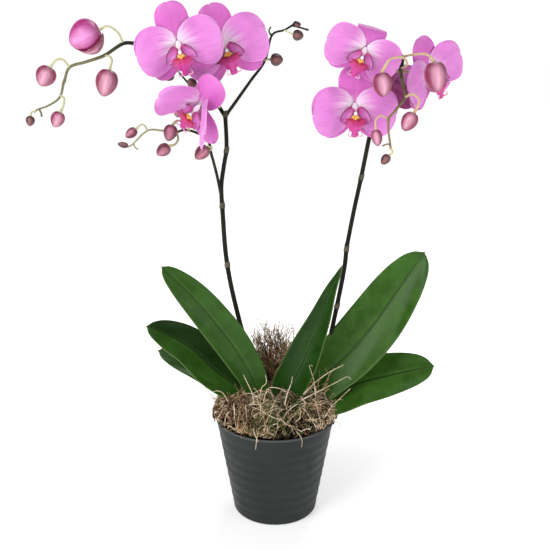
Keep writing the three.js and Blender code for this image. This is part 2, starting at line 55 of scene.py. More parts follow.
class Finish:
    """A node material. put() adds a node, and the other calls are the nodes used most."""

    def __init__(self, name, roughness, **values):
        self.material = bpy.data.materials.new(name)
        self.material.use_nodes = True
        self.tree = self.material.node_tree
        self.shader = self.tree.nodes["Principled BSDF"]
        self.shader.inputs["Roughness"].default_value = roughness
        for socket, value in values.items():
            self.shader.inputs[socket.replace("_", " ")].default_value = value

    def fill(self, socket, value):
        if isinstance(value, bpy.types.NodeSocket):
            self.tree.links.new(value, socket)
        elif isinstance(value, (tuple, list)) and len(value) == 3 and socket.type == "RGBA":
            socket.default_value = (*value, 1)
        else:
            socket.default_value = value

    def put(self, kind, inputs=None, **settings):
        node = self.tree.nodes.new("ShaderNode" + kind)
        for setting, value in settings.items():
            setattr(node, setting, value)
        for socket, value in (inputs or {}).items():
            self.fill(node.inputs[socket], value)
        return node

    def spot(self):
        return self.put("TexCoord").outputs["Object"]

    def stretched(self, scale, where=None):
        return self.put("Mapping", {"Vector": where or self.spot(), "Scale": scale}).outputs[0]

    def sheet(self):
        """A sheet's own UV map, its u and v, and how far u is from the sheet's middle."""
        place = self.put("UVMap", uv_map="UVMap").outputs["UV"]
        u, v = [self.put("SeparateXYZ", {0: place}).outputs[axis] for axis in (0, 1)]
        return place, u, v, self.math("ABSOLUTE", self.math("SUBTRACT", u, 0.5))

    def math(self, operation, first, second=0.0):
        return self.put("Math", {0: first, 1: second}, operation=operation).outputs[0]

    def noise(self, scale, detail, where=None, distortion=0.0):
        where = where or self.spot()
        inputs = {"Vector": where, "Scale": scale, "Detail": detail, "Distortion": distortion}
        return self.put("TexNoise", inputs).outputs["Fac"]

    def span(self, value, low, high, to_low=0.0, to_high=1.0):
        inputs = {"Value": value, "From Min": low, "From Max": high, "To Min": to_low, "To Max": to_high}
        return self.put("MapRange", inputs, interpolation_type="SMOOTHSTEP").outputs["Result"]

    def mix(self, share, first, second):
        return self.put("Mix", {0: share, 6: first, 7: second}, data_type="RGBA").outputs[2]

    def bump(self, height, strength, distance, under=None):
        inputs = {"Height": height, "Strength": strength, "Distance": distance}
        if under:
            inputs["Normal"] = under
        return self.put("Bump", inputs).outputs["Normal"]

    def done(self, colour=None, roughness=None, normal=None):
        for socket, value in (("Base Color", colour), ("Roughness", roughness), ("Normal", normal)):
            if value is not None:
                self.fill(self.shader.inputs[socket], value)
        return self.material


def add_piece(name, bm, materials, slot, *nodes):
    """Turns a finished bmesh into a piece that rides on the plant's one body."""
    mesh = bpy.data.meshes.new(name)
    bm.to_mesh(mesh)
    bm.free()
    for polygon in mesh.polygons:
        polygon.use_smooth = True
    for material in materials:
        mesh.materials.append(material)
    piece = bpy.data.objects.new(name, mesh)
    bpy.context.scene.collection.objects.link(piece)
    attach(piece, "root")
    if nodes:
        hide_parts(*nodes)
    return piece


def spun(profile, steps):
    """A closed shell: a profile of (radius, height) pairs turned all the way round the Z axis."""
    bm = bmesh.new()
    verts = [bm.verts.new((radius, 0, height)) for radius, height in profile]
    edges = [bm.edges.new(pair) for pair in zip(verts, verts[1:])]
    bmesh.ops.spin(
        bm, geom=verts + edges, axis=(0, 0, 1), cent=(0, 0, 0),
        angle=2 * math.pi, steps=steps, use_merge=True,
    )
    bmesh.ops.remove_doubles(bm, verts=bm.verts, dist=1e-6)
    bmesh.ops.recalc_face_normals(bm, faces=bm.faces)
    return bm


POT_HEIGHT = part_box("pot")[1].z
RIM_RADIUS = 65 * MM
BASE_RADIUS = 46 * MM
CORNER = 3 * MM
INNER_CORNER = 2 * MM
POT_WALL = 3 * MM
POT_FLOOR = 5 * MM
RIPPLES = 8
RINGS_PER_RIPPLE = 8
RIPPLE_DEPTH = 0.55 * MM
RIPPLE_PITCH = 11.8 * MM
FIRST_RIPPLE = 8.1 * MM


def pot_radius(height):
    return BASE_RADIUS + (RIM_RADIUS - BASE_RADIUS) * height / POT_HEIGHT


def arc(middle, height, radius, start, stop, steps):
    """Points of a profile on part of a circle, with its angles in quarter turns from straight out."""
    angles = [(start + (stop - start) * step / steps) * math.pi / 2 for step in range(steps + 1)]
    return [(middle + radius * math.cos(angle), height + radius * math.sin(angle)) for angle in angles]


def pot_profile():
    """From the middle of the base up the outside, over the rim and down the inside to the floor."""
    outer = [(0, 0), (BASE_RADIUS * 0.5, 0)]
    outer += arc(pot_radius(CORNER) - CORNER, CORNER, CORNER, -1, 0, 5)
    for ring in range(1, RIPPLES * RINGS_PER_RIPPLE + 1):
        height = FIRST_RIPPLE + (ring - 1) / RINGS_PER_RIPPLE * RIPPLE_PITCH
        ripple = 0.5 - 0.5 * math.cos(2 * math.pi * ring / RINGS_PER_RIPPLE)
        outer.append((pot_radius(height) - RIPPLE_DEPTH * ripple ** 1.6, height))
    edge = POT_WALL / 2
    outer += arc(RIM_RADIUS - edge, POT_HEIGHT - edge, edge, 0, 2, 8)
    inner = [(pot_radius(POT_HEIGHT * share) - POT_WALL, POT_HEIGHT * share) for share in (0.9, 0.7, 0.4)]
    floor = pot_radius(POT_FLOOR) - POT_WALL
    inner += [(floor, POT_FLOOR + INNER_CORNER), (floor - INNER_CORNER, POT_FLOOR), (0, POT_FLOOR)]
    return outer + inner


def pot_finish():
    look = Finish("matt_charcoal", 0.5, Specular_IOR_Level=0.16)
    cloud = look.noise(18, 4)
    grain = look.noise(900, 3)
    body = look.mix(look.span(cloud, 0.35, 0.7), (0.020, 0.025, 0.024), (0.026, 0.032, 0.030))
    colour = look.mix(look.span(grain, 0.62, 0.75, 0, 0.35), body, (0.06, 0.066, 0.064))
    height = look.put("SeparateXYZ", {0: look.spot()}).outputs[2]
    # Painted highlight: a paler band along the top of the rounded rim, where it catches the light.
    lip = look.span(height, POT_HEIGHT - 2.2 * MM, POT_HEIGHT - 0.8 * MM, 0.0, 0.7)
    colour = look.mix(lip, colour, (0.11, 0.12, 0.115))
    scuff = look.noise(60, 5, distortion=0.6)
    roughness = look.span(look.math("ADD", cloud, scuff), 0.7, 1.3, 0.42, 0.6)
    fine = look.bump(grain, 0.25, 0.12 * MM)
    return look.done(colour, roughness, look.bump(scuff, 0.2, 0.3 * MM, fine))


add_piece("cover_pot", spun(pot_profile(), 128), [pot_finish()], "pot", "pot")

# ------------------------------
# The growing medium: bark chips packed round the roots, hidden under the moss. It stays as it is
# in the frame, and takes a bark finish with painted shade in the gaps between the chips.


def bark_finish():
    look = Finish("bark_chips", 0.9)
    chips = look.put("TexVoronoi", {"Vector": look.spot(), "Scale": 90.0}, feature="F1")
    # The near-black in the gaps between the chips is painted shade.
    gap = look.span(chips.outputs["Distance"], 0.25, 0.6)
    fibre = look.noise(400, 4)
    chip = look.mix(fibre, (0.055, 0.028, 0.013), (0.14, 0.075, 0.036))
    colour = look.mix(gap, chip, (0.012, 0.008, 0.005))
    height = look.math("SUBTRACT", fibre, gap)
    return look.done(colour, None, look.bump(height, 0.6, 2 * MM))


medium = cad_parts["growing_medium"]
medium.data.materials.clear()
medium.data.materials.append(bark_finish())

# ------------------------------
# The leaves: six thick, leathery blades that clasp the short stem in two ranks. Each has a sunk
# midrib, a blunt tip, a glossy upper face and a paler, duller underside.


def smooth_route(points, steps):
    """Evenly counted points on a smooth curve through the given ones, with its direction at each."""
    ends = [2 * points[0] - points[1], *points, 2 * points[-1] - points[-2]]
    line = []
    for i in range(1, len(ends) - 2):
        before, start, stop, after = ends[i - 1:i + 3]
        for step in range(24):
            t = step / 24
            line.append(0.5 * (
                2 * start + (stop - before) * t
                + (2 * before - 5 * start + 4 * stop - after) * t ** 2
                + (3 * start - before - 3 * stop + after) * t ** 3
            ))
    line.append(points[-1])
    reach = [0.0]
    for first, second in zip(line, line[1:]):
        reach.append(reach[-1] + (second - first).length)
    placed = []
    cursor = 0
    for step in range(steps + 1):
        goal = reach[-1] * step / steps
        while cursor < len(line) - 2 and reach[cursor + 1] < goal:
            cursor += 1
        share = (goal - reach[cursor]) / max(reach[cursor + 1] - reach[cursor], 1e-9)
        here = line[cursor].lerp(line[cursor + 1], min(share, 1.0))
        placed.append((here, (line[cursor + 1] - line[cursor]).normalized()))
    return placed


def millimetres(points):
    return [Vector(point) * MM for point in points]


def blade_grid(across, along):
    """A flat sheet with its own UV map: u runs across it and v from its root to its tip."""
    bm = bmesh.new()
    bmesh.ops.create_grid(bm, x_segments=across, y_segments=along, size=1)
    layer = bm.loops.layers.uv.new("UVMap")
    for face in bm.faces:
        for loop in face.loops:
            loop[layer].uv = (0.5 + 0.5 * loop.vert.co.x, 0.5 + 0.5 * loop.vert.co.y)
    return bm


def thicken(piece, thickness, back_slot=0):
    """Gives a sheet its thickness, half to each side, and rounds it."""
    wall = piece.modifiers.new("wall", "SOLIDIFY")
    wall.thickness = thickness
    wall.offset = 0
    wall.material_offset = back_slot
    wall.material_offset_rim = 0
    round_off = piece.modifiers.new("round", "SUBSURF")
    round_off.levels = round_off.render_levels = 1
    return piece


LEAF_THICKNESS = 1.7 * MM
LINE_STEPS = 400
LEAVES = {
    "leaf_left_upper": dict(
        width=39, lean=0, fold=0.2, face=(0.25, -0.85, 0.45), wave=0.7, shade=0.55,
        route=((-7, -4, 123), (-18, -5, 140), (-28, -8, 165), (-45, -12, 196), (-64, -18, 225),
               (-85, -22, 253), (-114, -22, 284)),
    ),
    "leaf_right_inner": dict(
        width=32, lean=-0.7, fold=0.6, face=(-0.35, -0.9, 0.15), wave=0.3, shade=0.1,
        route=((6, -5, 122), (16, -6, 146), (27, -8, 168), (39, -8, 199), (49, -8, 225),
               (59, -4, 254), (70, 2, 278)),
    ),
    "leaf_left_middle": dict(
        width=46, lean=0, fold=0.22, face=(0.2, -0.75, 0.6), wave=0.9, shade=0.45,
        route=((-9, 0, 116), (-33, -2, 138), (-65, 2, 161), (-90, 6, 185), (-114, 8, 199),
               (-137, 8, 210)),
    ),
    "leaf_right_large": dict(
        width=62, lean=0.08, fold=0.22, face=(-0.25, -0.85, 0.45), wave=0.8, shade=0.8,
        route=((9, 0, 117), (30, 2, 129), (59, 6, 158), (84, 10, 182), (109, 14, 212),
               (133, 18, 248), (159, 22, 288)),
    ),
    "leaf_left_lower": dict(
        width=42, lean=0, fold=0.2, face=(0.1, -0.6, 0.8), wave=0.6, shade=0.3,
        route=((-9, 4, 108), (-39, 8, 136), (-74, 16, 156), (-100, 22, 166), (-128, 26, 175)),
    ),
    "leaf_right_lower": dict(
        width=56, lean=0.08, fold=0.2, face=(-0.1, -0.65, 0.75), wave=0.7, shade=0.7,
        route=((9, 3, 108), (36, 3, 122), (66, 2, 134), (91, 4, 145), (122, 6, 153),
               (172, 6, 165)),
    ),
}


def leaf_sheet(width, lean, fold, face, wave, route, shade):
    """The blade's middle surface. Its outline is a sine arch, and its midrib is a narrow groove."""
    root, tip = 0.45, 0.08
    point = 3.5 * MM
    face = Vector(face).normalized()
    line = smooth_route(millimetres(route), LINE_STEPS)
    bm = blade_grid(24, 56)
    for vert in bm.verts:
        u, progress = vert.co.x, 0.5 + 0.5 * vert.co.y
        theta = root + progress * (math.pi - root - tip)
        half = 0.5 * width * MM * math.sin(theta) ** 0.92 * (1 - lean * math.cos(theta))
        here, ahead = line[round(LINE_STEPS * (1 - math.cos(theta)) / 2)]
        here = here + ahead * point * (1 - abs(u)) ** 2 * max(0, progress - 0.85) / 0.15
        side = ahead.cross(face).normalized()
        front = side.cross(ahead)
        rise = fold * u * u * half
        rise -= 0.9 * MM * math.exp(-((u * half / (1.7 * MM)) ** 2)) * min(1.0, half / (9 * MM))
        rise += wave * MM * u * abs(u) * math.sin(9 * progress + 3 * shade)
        rise += 0.35 * wave * MM * math.sin(23 * progress + 8 * u + 5 * shade) * abs(u)
        vert.co = here + side * (u * half) + front * rise
    bmesh.ops.recalc_face_normals(bm, faces=bm.faces)
    if sum((part.normal for part in bm.faces), Vector()).dot(face) < 0:
        bmesh.ops.reverse_faces(bm, faces=bm.faces)
    return bm


def leaf_finish(name, shade, upper_half_shadow):
    """The upper skin: deep green, a paler haze at the root, fine lengthwise veins, a thin edge, painted
    shade down the midrib's groove with a painted highlight beside it, and a painted shadow that can darken
    one half.
    """
    look = Finish(name, 0.36, Specular_IOR_Level=0.17)
    place, u, v, off_middle = look.sheet()
    mottle = look.noise(55, 4, distortion=0.5)
    deep = [low + (high - low) * shade for low, high in zip((0.007, 0.036, 0.002), (0.034, 0.100, 0.009))]
    light = [channel * 1.5 + 0.003 for channel in deep]
    colour = look.mix(look.span(mottle, 0.3, 0.75), tuple(deep), tuple(light))
    veins = look.put("TexWave", {
        "Vector": look.stretched((1, 0.06, 1), place), "Scale": 11.0, "Distortion": 1.2, "Detail": 2.0,
    }, bands_direction="X").outputs["Fac"]
    colour = look.mix(look.span(veins, 0.6, 1.0, 0, 0.16), colour, (0.05, 0.12, 0.02))
    # Painted shade: a darker line down the middle of the midrib's groove.
    colour = look.mix(look.span(off_middle, 0.008, 0.028, 0.7, 0.0), colour, (0.008, 0.026, 0.003))
    # Painted highlight: a lighter stripe on each side of the groove, where its walls catch the light.
    rising = look.span(off_middle, 0.02, 0.045, 0.0, 0.25)
    falling = look.span(off_middle, 0.05, 0.10, 1.0, 0.0)
    colour = look.mix(look.math("MULTIPLY", rising, falling), colour, (0.07, 0.15, 0.035))
    colour = look.mix(look.span(v, 0.0, 0.16, 0.5, 0.0), colour, (0.05, 0.10, 0.02))
    # Painted shadow: one half of the blade darker, as if shaded by the leaf above.
    colour = look.mix(look.span(u, 0.46, 0.56, 0.0, upper_half_shadow), colour, (0.004, 0.013, 0.002))
    colour = look.mix(look.span(off_middle, 0.488, 0.5, 0.0, 0.6), colour, (0.16, 0.21, 0.07))
    roughness = look.span(mottle, 0.3, 0.8, 0.26, 0.42)
    pores = look.bump(look.noise(700, 2), 0.12, 0.15 * MM)
    ribs = look.bump(veins, 0.12, 0.35 * MM, pores)
    return look.done(colour, roughness, look.bump(mottle, 0.06, 0.9 * MM, ribs))


def leaf_back_finish():
    look = Finish("leaf_underside", 0.55)
    keel = look.span(look.sheet()[3], 0.0, 0.05, 0.5, 0.0)
    flesh = look.mix(look.noise(70, 4), (0.055, 0.11, 0.03), (0.105, 0.175, 0.06))
    colour = look.mix(keel, flesh, (0.14, 0.2, 0.08))
    return look.done(colour, None, look.bump(look.noise(500, 3), 0.2, 0.2 * MM))


underside = leaf_back_finish()
for node, leaf in LEAVES.items():
    # The middle left leaf gets a painted shadow over its upper half, cast by the leaf above it.
    skin = leaf_finish("skin_of_" + node, leaf["shade"], 0.75 if node == "leaf_left_middle" else 0.0)
    blade = add_piece("green_" + node, leaf_sheet(**leaf), [skin, underside], "leaf", node)
    thicken(blade, LEAF_THICKNESS, back_slot=1)

# ------------------------------
# The crown: old, trimmed leaf bases wrapped tightly round the short stem the leaves grow from.
# It stays as it is in the frame, in a fibrous green and straw finish.


def crown_finish():
    look = Finish("clasping_leaf_bases", 0.5)
    fibre = look.noise(420, 4, look.stretched((1, 1, 0.12)))
    green = look.mix(fibre, (0.045, 0.09, 0.02), (0.16, 0.20, 0.07))
    colour = look.mix(look.span(look.noise(90, 3), 0.5, 0.65), green, (0.16, 0.10, 0.05))
    return look.done(colour, None, look.bump(fibre, 0.5, 0.6 * MM))


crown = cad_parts["crown"]
crown.data.materials.clear()
crown.data.materials.append(crown_finish())

# ------------------------------
# The flower spikes: two woody stems that come up through the moss and branch near the top. They
# are almost black, with a small pale scar at each node, and turn olive and then tan in the arms.
# The thin pedicels of the buds and flowers grow out of the arms.


def strand_mesh(strands, roundness):
    """Round tubes as one mesh. A strand is a list of (place, radius) pairs."""
    data = bpy.data.curves.new("strands", "CURVE")
    data.dimensions = "3D"
    data.bevel_depth = 1.0
    data.bevel_resolution = roundness
    data.use_fill_caps = True
    for strand in strands:
        spline = data.splines.new("POLY")
        spline.points.add(len(strand) - 1)
        for point, (place, radius) in zip(spline.points, strand):
            point.co = (*place, 1)
            point.radius = radius
    holder = bpy.data.objects.new("strands", data)
    bpy.context.scene.collection.objects.link(holder)
    bpy.context.view_layer.update()
    mesh = bpy.data.meshes.new_from_object(holder)
    bpy.data.objects.remove(holder)
    bm = bmesh.new()
    bm.from_mesh(mesh)
    bpy.data.meshes.remove(mesh)
    bmesh.ops.recalc_face_normals(bm, faces=bm.faces)
    return bm


def tube_along(points, first, last, step, swell_at=(), swell=1, reach=MM):
    """A strand through the points whose radius runs from first to last and swells at its nodes."""
    length = sum((b - a).length for a, b in zip(points, points[1:]))
    steps = max(6, round(length / step))
    strand = []
    for i, (place, _) in enumerate(smooth_route(points, steps)):
        share = i / steps
        radius = first + (last - first) * share
        for fraction in swell_at:
            gap = (share - fraction) * length / reach
            radius *= 1 + (swell - 1) * math.exp(-gap * gap)
        strand.append((place, radius))
    return strand


def node_scale(points, fraction, radius):
    """The short dry scale that hugs a node of the stem: a half cone, open on one side."""
    line = smooth_route(points, 200)
    place, ahead = line[round(fraction * 200)]
    turn = Vector((0, 0, 1)).rotation_difference(ahead).to_matrix().to_4x4()
    bm = blade_grid(16, 8)
    for vert in bm.verts:
        across, up = vert.co.x, 0.5 + 0.5 * vert.co.y
        angle = across * 2.3 * (1 - 0.8 * up ** 1.3) + 0.5
        wide = radius * (1.24 + 0.08 * up)
        vert.co = Vector((wide * math.sin(angle), -wide * math.cos(angle), (up * 6.5 - 1.2) * MM))
    bmesh.ops.solidify(bm, geom=bm.faces[:], thickness=-0.3 * MM)
    bm.transform(Matrix.Translation(place) @ turn)
    return bm


def merged(*parts):
    """One bmesh out of several. The parts are used up."""
    whole = bmesh.new()
    for part in parts:
        mesh = bpy.data.meshes.new("part")
        part.to_mesh(mesh)
        whole.from_mesh(mesh)
        bpy.data.meshes.remove(mesh)
        part.free()
    return whole


def stem_finish(name, low, high, axis, start, stop, fleck, roughness=0.45):
    """Skin that changes colour along an axis, streaked lengthwise and flecked with small pale pores."""
    look = Finish(name, roughness, Specular_IOR_Level=0.12)
    reach = look.put("SeparateXYZ", {0: look.spot()}).outputs[axis]
    drift = look.math("MULTIPLY", look.math("SUBTRACT", look.noise(40, 3), 0.5), 0.02)
    colour = look.mix(look.span(look.math("ADD", reach, drift), start, stop), low, high)
    colour = look.mix(look.span(look.noise(1100, 2), 0.66, 0.74, 0.0, 0.4), colour, fleck)
    streak = look.noise(260, 3, look.stretched((1, 1, 0.1)))
    colour = look.mix(look.span(streak, 0.4, 0.8, 0.0, 0.3), colour, fleck)
    return look.done(colour, None, look.bump(streak, 0.25, 0.35 * MM))


STEM_RADIUS = 2.7 * MM
UPPER_RADIUS = 2.1 * MM
PEDICEL_RADIUS = 1.1 * MM

# Each stem: its route, its radius at both ends, and where its nodes are. Routes are in millimetres.
STEMS = {
    "left": [
        (((-5, 11, 120), (-12, 20, 131), (-22, 20, 149), (-39, 18, 214), (-51, 12, 280),
          (-55, 6, 349)), STEM_RADIUS * 1.05, STEM_RADIUS * 0.9, (0.7, 0.97)),
        (((-55, 6, 347), (-55, 5, 365), (-52, 4, 385), (-49, 4, 404),
          (-50, 6, 437)), STEM_RADIUS * 0.87, UPPER_RADIUS, (0.58, 0.97)),
        (((-50, 6, 434), (-57, 8, 445), (-70, 8, 469), (-84, 6, 489), (-107, 0, 502),
          (-135, -8, 504)), UPPER_RADIUS, UPPER_RADIUS * 0.85, (0.42,)),
    ],
    "right": [
        (((5, 11, 120), (15, 23, 127), (36, 27, 134), (53, 24, 149), (61, 20, 194), (73, 14, 267),
          (76, 12, 301)), STEM_RADIUS, STEM_RADIUS * 0.9, (0.67, 0.97)),
        (((76, 12, 299), (82, 9, 337), (88, 6, 371), (96, 4, 418), (103, 4, 450),
          (111, 2, 479)), STEM_RADIUS * 0.87, UPPER_RADIUS, (0.4, 0.66)),
        (((110.5, 2, 477), (115, -2, 488), (122, -8, 492), (122, -15, 487),
          (120, -22, 478)), UPPER_RADIUS * 1.5, UPPER_RADIUS * 0.8, (0.5,)),
    ],
}
# Each arm: its route and its radius at both ends, in millimetres. Short hooks have dropped their buds.
ARMS = {
    "left": [
        (((-133, -8, 504), (-146, -10, 504), (-164, -14, 493), (-182, -16, 487), (-197, -18, 482),
          (-203, -19, 468)), 1.8, 1.25),
        (((-203, -19, 469), (-208, -20, 454), (-220, -21, 446), (-229, -22, 443),
          (-233, -22, 440)), 1.25, 0.7),
        (((-50, 6, 434), (-38, 8, 450), (-24, 10, 469), (-10, 12, 488), (-3, 12, 512), (9, 12, 517),
          (18, 12, 522)), 1.8, 0.95),
        (((-70, 8, 469), (-76, 11, 464), (-83, 12, 463), (-90, 12, 470), (-97, 11, 479),
          (-97, 11, 484)), 1.3, 0.8),
        (((-129, -7, 504), (-127, -7, 507), (-124, -8, 509)), 1.0, 0.4),
        (((-228, -22, 443), (-226, -23, 439), (-226, -23, 436)), 0.9, 0.9),
        (((18, 12, 521), (26, 13, 519), (33, 14, 517)), 0.9, 0.9),
        (((-3, 12, 511), (-6, 12, 516), (-4, 12, 520)), 0.9, 0.6),
        (((17, 12, 521), (20, 12, 525), (22, 12, 523)), 0.9, 0.8),
    ],
    "low": [
        (((-55, 6, 350), (-59, 1, 375), (-64, -2, 397), (-68, -6, 413), (-86, -10, 422),
          (-98, -14, 420)), 1.6, 1.3),
        (((-97, -14, 420), (-111, -16, 422), (-125, -18, 422), (-141, -20, 408),
          (-145.5, -21, 407.5)), 1.15, 0.7),
        (((-139, -20, 410), (-137, -21, 406), (-134, -21, 404)), 0.8, 0.6),
    ],
    "right": [
        (((120, -21, 480), (121, -27, 470), (123, -34, 455), (116, -40, 446), (106, -44, 435)), 1.7, 1.2),
        (((107, -43.5, 436), (107, -47, 425), (109, -50, 411), (109, -51, 408)), 1.2, 0.9),
        (((109, -50, 411), (106, -52, 413), (101, -52, 411)), 0.8, 0.7),
    ],
}

# Where each bud's pedicel leaves its arm and how it bends. It ends at the foot of the bud.
BUD_PEDICELS = {
    "bud_left_01": ((-146, -10, 504), (-150, -12, 514), (-159, -14, 520)),
    "bud_left_02": ((-197, -18, 482), (-202, -20, 489), (-208, -22, 489)),
    "bud_left_03": ((-163, -14, 493), (-158, -17, 492), (-156, -19, 488)),
    "bud_left_04": ((-207, -20, 456), (-203, -23, 453), (-204, -24, 446)),
    "bud_left_05": ((-231, -22, 441), (-235, -23, 440.5)),
    "bud_left_06": ((-76, 11, 464), (-77, 8, 461.5)),
    "bud_left_07": ((-96, 11, 478), (-99, 10, 479)),
    "bud_left_08": ((-70, 8, 469), (-77, 8, 458), (-85, 3, 451)),
    "bud_left_09": ((-65, -3, 401), (-63, -8, 405)),
    "bud_left_10": ((-84, -10, 422), (-90, -17, 430), (-95, -23, 432)),
    "bud_left_11": ((-97, -14, 420), (-95, -18, 414), (-98, -20, 409)),
    "bud_left_12": ((-125, -18, 422), (-127, -20, 427), (-131, -20, 428)),
    "bud_left_13": ((-10, 12, 488), (-8, 9, 489)),
    "bud_left_14": ((9, 12, 517), (13, 10, 515)),
    "bud_right_01": ((120.5, -20, 481), (124, -32, 485), (119, -43, 491), (106, -49, 490)),
    "bud_right_02": ((122, -10, 491.5), (131, -26, 494), (141, -40, 494)),
    "bud_right_03": ((123, -34, 455), (130, -40, 458), (135, -45, 452)),
    "bud_right_04": ((106, -44, 436), (99, -49, 439), (94, -52, 435)),
    "bud_right_05": ((109, -51, 409), (111, -52, 405)),
}
# Where the pedicel of each open flower leaves the spike.
FLOWER_PEDICELS = dict(zip("abcdefg", (
    (-126, -5, 504), (-72, 8, 471), (-55, 8, 443),
    (111, 2, 478), (96, 4, 420), (111, 2, 479), (103, 4, 450),
)))


def corners_of(node):
    """The separate corners of a node's shape in the frame."""
    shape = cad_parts[node]
    places = (shape.matrix_world @ vert.co for vert in shape.data.vertices)
    found = {tuple(round(value, 6) for value in place) for place in places}
    return [Vector(corner) for corner in sorted(found)]


def middle_of(node):
    corners = corners_of(node)
    return sum(corners, Vector()) / len(corners)


def bud_frame(node):
    """The foot, the tip and the width of a bud. Its two ends lie in line with its middle."""
    corners = corners_of(node)
    middle = middle_of(node)
    pairs = [(first, second) for first in corners for second in corners]
    ends = min(pairs, key=lambda pair: (pair[0] - middle).normalized().dot((pair[1] - middle).normalized()))
    entry = Vector(BUD_PEDICELS[node][-1]) * MM
    foot, tip = sorted(ends, key=lambda corner: (corner - entry).length)
    axis = (tip - foot).normalized()
    width = 2 * max((corner - foot - axis * axis.dot(corner - foot)).length for corner in corners)
    return foot, tip, width


# The frame's shape of an open flower, at size one: how far its lip lies from its sepals.
LIP_FROM_SEPALS = Vector((0, -7.917, -6.544)) * MM
SEPALS_MIDDLE = Vector((-0.02, 1.94, -1.086)) * MM


def mirror_axis(corners, rough):
    """The axis across a shape that is the same on both sides, near a rough guess of it."""
    offsets = numpy.array(corners) - numpy.mean(corners, axis=0)
    axes = numpy.linalg.eigh(offsets.T @ offsets)[1].T
    axis = max((Vector(axis) for axis in axes), key=lambda axis: abs(axis.dot(rough)))
    return axis if axis.dot(rough) > 0 else -axis


def flower_placing(key):
    """Where an open flower sits: its face looks along its own -Y and its dorsal sepal along +Z."""
    left, right = (middle_of(f"flower_{key}_petal_{word}") for word in ("left", "right"))
    sepals, lip = (corners_of(f"flower_{key}_{word}") for word in ("sepals", "lip"))
    across = mirror_axis(sepals + lip, right - left)
    down = middle_of(f"flower_{key}_lip") - middle_of(f"flower_{key}_sepals")
    lean = math.atan2(-LIP_FROM_SEPALS.z, -LIP_FROM_SEPALS.y)
    front = Quaternion(across, -lean) @ down.normalized()
    size = down.length / LIP_FROM_SEPALS.length
    turn = Matrix((across, -front, across.cross(-front))).transposed().to_4x4()
    place = middle_of(f"flower_{key}_sepals") - size * (turn @ SEPALS_MIDDLE)
    return Matrix.Translation(place) @ turn @ Matrix.Scale(size, 4)


FLOWER_PLACINGS = {key: flower_placing(key) for key in FLOWER_PEDICELS}


def bud_pedicel(node):
    """A pedicel that thickens into the foot of its bud."""
    foot, tip, width = bud_frame(node)
    slim = PEDICEL_RADIUS * (0.75 if width < 12 * MM else 0.95)
    route = [*millimetres(BUD_PEDICELS[node]), foot + (tip - foot) * 0.05]
    strand = tube_along(route, slim * 1.1, slim, 1.5 * MM)
    last = len(strand) - 1
    swell = [1 + 0.6 * max(0.0, i / last - 0.75) * 4 for i in range(last + 1)]
    return [(place, radius * more) for (place, radius), more in zip(strand, swell)]


def flower_pedicel(key):
    placing = FLOWER_PLACINGS[key]
    behind = placing @ (Vector((0, 16.4, -1)) * MM)
    end = placing @ (Vector((0, 5.5, 0)) * MM)
    return tube_along([Vector(FLOWER_PEDICELS[key]) * MM, behind, end], 1.35 * MM, 1.45 * MM, 1.5 * MM)


BLACK_STEM = (0.012, 0.014, 0.007)
X, Z = 0, 2
dark_stem = stem_finish("dark_stem", (0.006, 0.007, 0.004), (0.010, 0.012, 0.006), Z, 0.25, 0.5,
                        (0.04, 0.042, 0.025))
dry_scale = stem_finish("dry_scale", (0.12, 0.10, 0.07), (0.06, 0.06, 0.035), Z, 0.2, 0.4,
                        (0.24, 0.2, 0.15), 0.6)
arm_skins = {
    "left": stem_finish("olive_arm", (0.19, 0.18, 0.085), BLACK_STEM, X, -0.178, -0.14, (0.10, 0.09, 0.05)),
    "low": stem_finish("straw_arm", (0.34, 0.31, 0.17), BLACK_STEM, X, -0.108, -0.09, (0.12, 0.09, 0.05)),
    "right": stem_finish("tan_arm", (0.26, 0.19, 0.095), (0.05, 0.06, 0.02), Z, 0.425, 0.482,
                         (0.42, 0.31, 0.2)),
}
pedicel_skins = {
    "left": stem_finish("green_pedicel", (0.50, 0.49, 0.27), (0.62, 0.62, 0.38), Z, 0.40, 0.52,
                        (0.30, 0.26, 0.12)),
    "right": stem_finish("peach_pedicel", (0.66, 0.46, 0.27), (0.60, 0.48, 0.26), Z, 0.40, 0.50,
                         (0.42, 0.24, 0.14)),
}
for side, keys in (("left", "abc"), ("right", "defg")):
    strands, scales = [], []
    for route, first, last, nodes in STEMS[side]:
        route = millimetres(route)
        strands.append(tube_along(route, first, last, 2.5 * MM, nodes, 1.22, 2.2 * MM))
        scales += [node_scale(route, fraction, first + (last - first) * fraction) for fraction in nodes]
    thin = [flower_pedicel(key) for key in keys]
    thin += [bud_pedicel(node) for node in BUD_PEDICELS if node.startswith(f"bud_{side}")]
    add_piece(f"stem_{side}", strand_mesh(strands, 3), [dark_stem], "spike", f"spike_{side}")
    add_piece(f"node_scales_{side}", merged(*scales), [dry_scale], "spike")
    add_piece(f"pedicels_{side}", strand_mesh(thin, 2), [pedicel_skins[side]], "spike")
for name, rows in ARMS.items():
    arms = [tube_along(millimetres(route), first * MM, last * MM, 2 * MM, (0.02, 0.98), 1.25, 2 * MM)
            for route, first, last in rows]
    add_piece(f"arms_{name}", strand_mesh(arms, 2), [arm_skins[name]], "spike")

# ------------------------------
# The flower buds: closed pods of three pink tepals whose crimson margins meet in seams, with a
# blunt foot on the pedicel. The largest is about to open, and the smallest are still brown.


